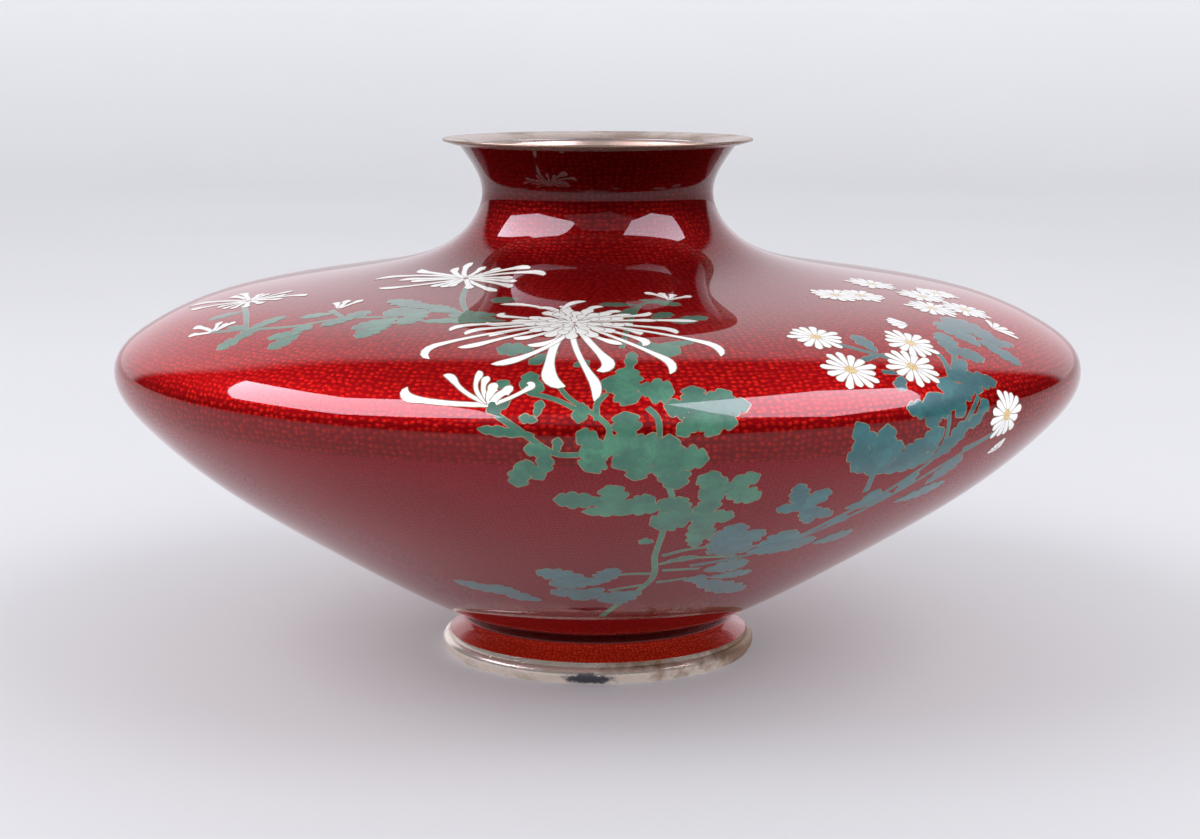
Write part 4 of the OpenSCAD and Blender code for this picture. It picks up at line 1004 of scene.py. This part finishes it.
def make_sweep():
    """A pale floor, and a round wall that it curves up into, which only the camera sees."""
    paper = Surface("studio_paper", Roughness=0.8, Specular_IOR_Level=0.15)
    tone = paper.ramp(paper.noise(3.0, 2.0), 0.3, 0.7)
    paper.paint(Base_Color=paper.mix(tone, rgb(0.795, 0.8, 0.83), rgb(0.78, 0.785, 0.815)))
    disc_rings("studio_floor", [(0.001, 0.0), (0.3, 0.0), (1.0, 0.0), (FLOOR_R, 0.0)],
               paper.material)
    curve = WALL_R - FLOOR_R
    turn = np.radians(np.linspace(-90, 0, 13))
    outline = [(FLOOR_R + curve * math.cos(t), curve + curve * math.sin(t)) for t in turn]
    wall = disc_rings("studio_wall", outline + [(WALL_R, 3.0)], paper.material)
    wall.visible_glossy = wall.visible_diffuse = wall.visible_shadow = False


def area_light(name, azimuth, elevation, distance, width, height, power):
    """A soft light that reflections don't see."""
    light = bpy.data.lights.new(name, "AREA")
    light.shape = "RECTANGLE"
    light.size, light.size_y, light.energy = width, height, power
    lamp = bpy.data.objects.new(name, light)
    towards = direction(azimuth, elevation)
    lamp.location = towards * distance + LIT_POINT
    lamp.rotation_mode = "QUATERNION"
    lamp.rotation_quaternion = towards.to_track_quat("Z", "Y")
    lamp.visible_glossy = False
    lamp.visible_camera = False
    bpy.context.scene.collection.objects.link(lamp)


def softbox(name, corners, distance, strength):
    """A lit panel that only reflections see. Its corners are (azimuth, elevation)."""
    mesh = bpy.data.meshes.new(name)
    points = [direction(*corner) * distance + LIT_POINT for corner in corners]
    middle = sum(points, Vector()) / len(points)
    n = len(points)
    mesh.from_pydata(points + [middle], [], [(i, (i + 1) % n, n) for i in range(n)])
    glow = bpy.data.materials.new(name + "_glow")
    glow.use_nodes = True
    tree = glow.node_tree
    tree.nodes.clear()
    emission = tree.nodes.new("ShaderNodeEmission")
    emission.inputs[0].default_value = rgb(1.0, 0.95, 1.12)
    emission.inputs[1].default_value = strength
    output = tree.nodes.new("ShaderNodeOutputMaterial")
    tree.links.new(emission.outputs[0], output.inputs[0])
    mesh.materials.append(glow)
    panel = bpy.data.objects.new(name, mesh)
    panel.visible_camera = False
    panel.visible_diffuse = False
    panel.visible_shadow = False
    bpy.context.scene.collection.objects.link(panel)


def make_world():
    """A dark room for reflections, with the pale floor below the horizon and the lit
    backdrop behind the vase, and a pale sky for everything else."""
    world = bpy.data.worlds.new("studio")
    bpy.context.scene.world = world
    world.use_nodes = True
    tree = world.node_tree
    tree.nodes.clear()

    def add(kind, inputs=None, **settings):
        node = tree.nodes.new("ShaderNode" + kind)
        for key, value in settings.items():
            setattr(node, key, value)
        for key, value in (inputs or {}).items():
            if isinstance(value, bpy.types.NodeSocket):
                tree.links.new(value, node.inputs[key])
            else:
                node.inputs[key].default_value = value
        return node

    ray = add("TexCoord").outputs["Generated"]
    up = add("SeparateXYZ", {0: ray}).outputs[2]
    floor = add("MapRange", {0: up, 1: 0.04, 2: 0.02}, interpolation_type="SMOOTHSTEP")
    towards = direction(180, 8)
    facing = add("VectorMath", {0: ray, 1: tuple(towards)}, operation="DOT_PRODUCT")
    backdrop = add("MapRange", {0: facing.outputs["Value"], 1: 0.68, 2: 0.76},
                   interpolation_type="SMOOTHSTEP")
    lit = add("Mix", {0: backdrop.outputs[0], 6: rgb(0.006, 0.005, 0.006),
                      7: rgb(1.0, 0.99, 1.05)}, data_type="RGBA")
    room = add("Mix", {0: floor.outputs[0], 6: lit.outputs[2], 7: rgb(0.66, 0.65, 0.68)},
               data_type="RGBA")
    # Soft light that comes in low from all round
    low = add("MapRange", {0: up, 1: 0.85, 2: 0.55}, interpolation_type="SMOOTHSTEP")
    soft = add("Mix", {0: low.outputs[0], 6: rgb(0.26, 0.26, 0.27), 7: rgb(1.4, 1.4, 1.43)},
               data_type="RGBA")
    glossy = add("LightPath").outputs["Is Glossy Ray"]
    seen = add("Mix", {0: glossy, 6: soft.outputs[2], 7: room.outputs[2]}, data_type="RGBA")
    background = add("Background", {0: seen.outputs[2], 1: 1.0})
    output = add("OutputWorld")
    tree.links.new(background.outputs[0], output.inputs[0])


def make_studio():
    make_world()
    make_sweep()
    area_light("left_light", -65, 46, 1.7, 1.1, 0.8, 5)
    area_light("right_light", 62, 50, 1.7, 1.1, 0.8, 4)
    area_light("front_fill", 0, 20, 1.9, 1.8, 0.8, 5)
    softbox("left_softbox", [(-127, 41), (-99, 56), (-97, 66), (-46, 64), (-24, 48), (-47, 38),
                             (-63, 29), (-97, 27)], 1.7, 12.0)
    softbox("front_bounce", [(-36, 34), (-22, 62), (38, 62), (42, 40), (12, 28)], 1.75, 0.5)
    softbox("right_softbox", [(38, 45), (56, 29), (82, 31), (119, 49), (121, 61), (105, 73),
                              (65, 80), (40, 62)], 1.7, 9.3)


def make_camera():
    camera = bpy.data.objects.new("camera", bpy.data.cameras.new("camera"))
    camera.data.lens = LENS_MM
    camera.data.sensor_width = 36.0
    camera.data.clip_start = 0.01
    camera.location = EYE
    camera.rotation_euler = (math.radians(90 - PITCH_DOWN), 0, 0)
    bpy.context.scene.collection.objects.link(camera)
    bpy.context.scene.camera = camera


make_camera()
make_studio()
bpy.context.scene.view_settings.view_transform = "Standard"

WIRE = wire_silver()
WHITE = petal_enamel("white_enamel", (0.94, 0.94, 0.93), (0.66, 0.66, 0.67))
make_grounds()
make_rims()
make_sprays(WIRE)
make_mums(WHITE, WIRE)
make_daisies(WHITE, WIRE)
finish_nodes()
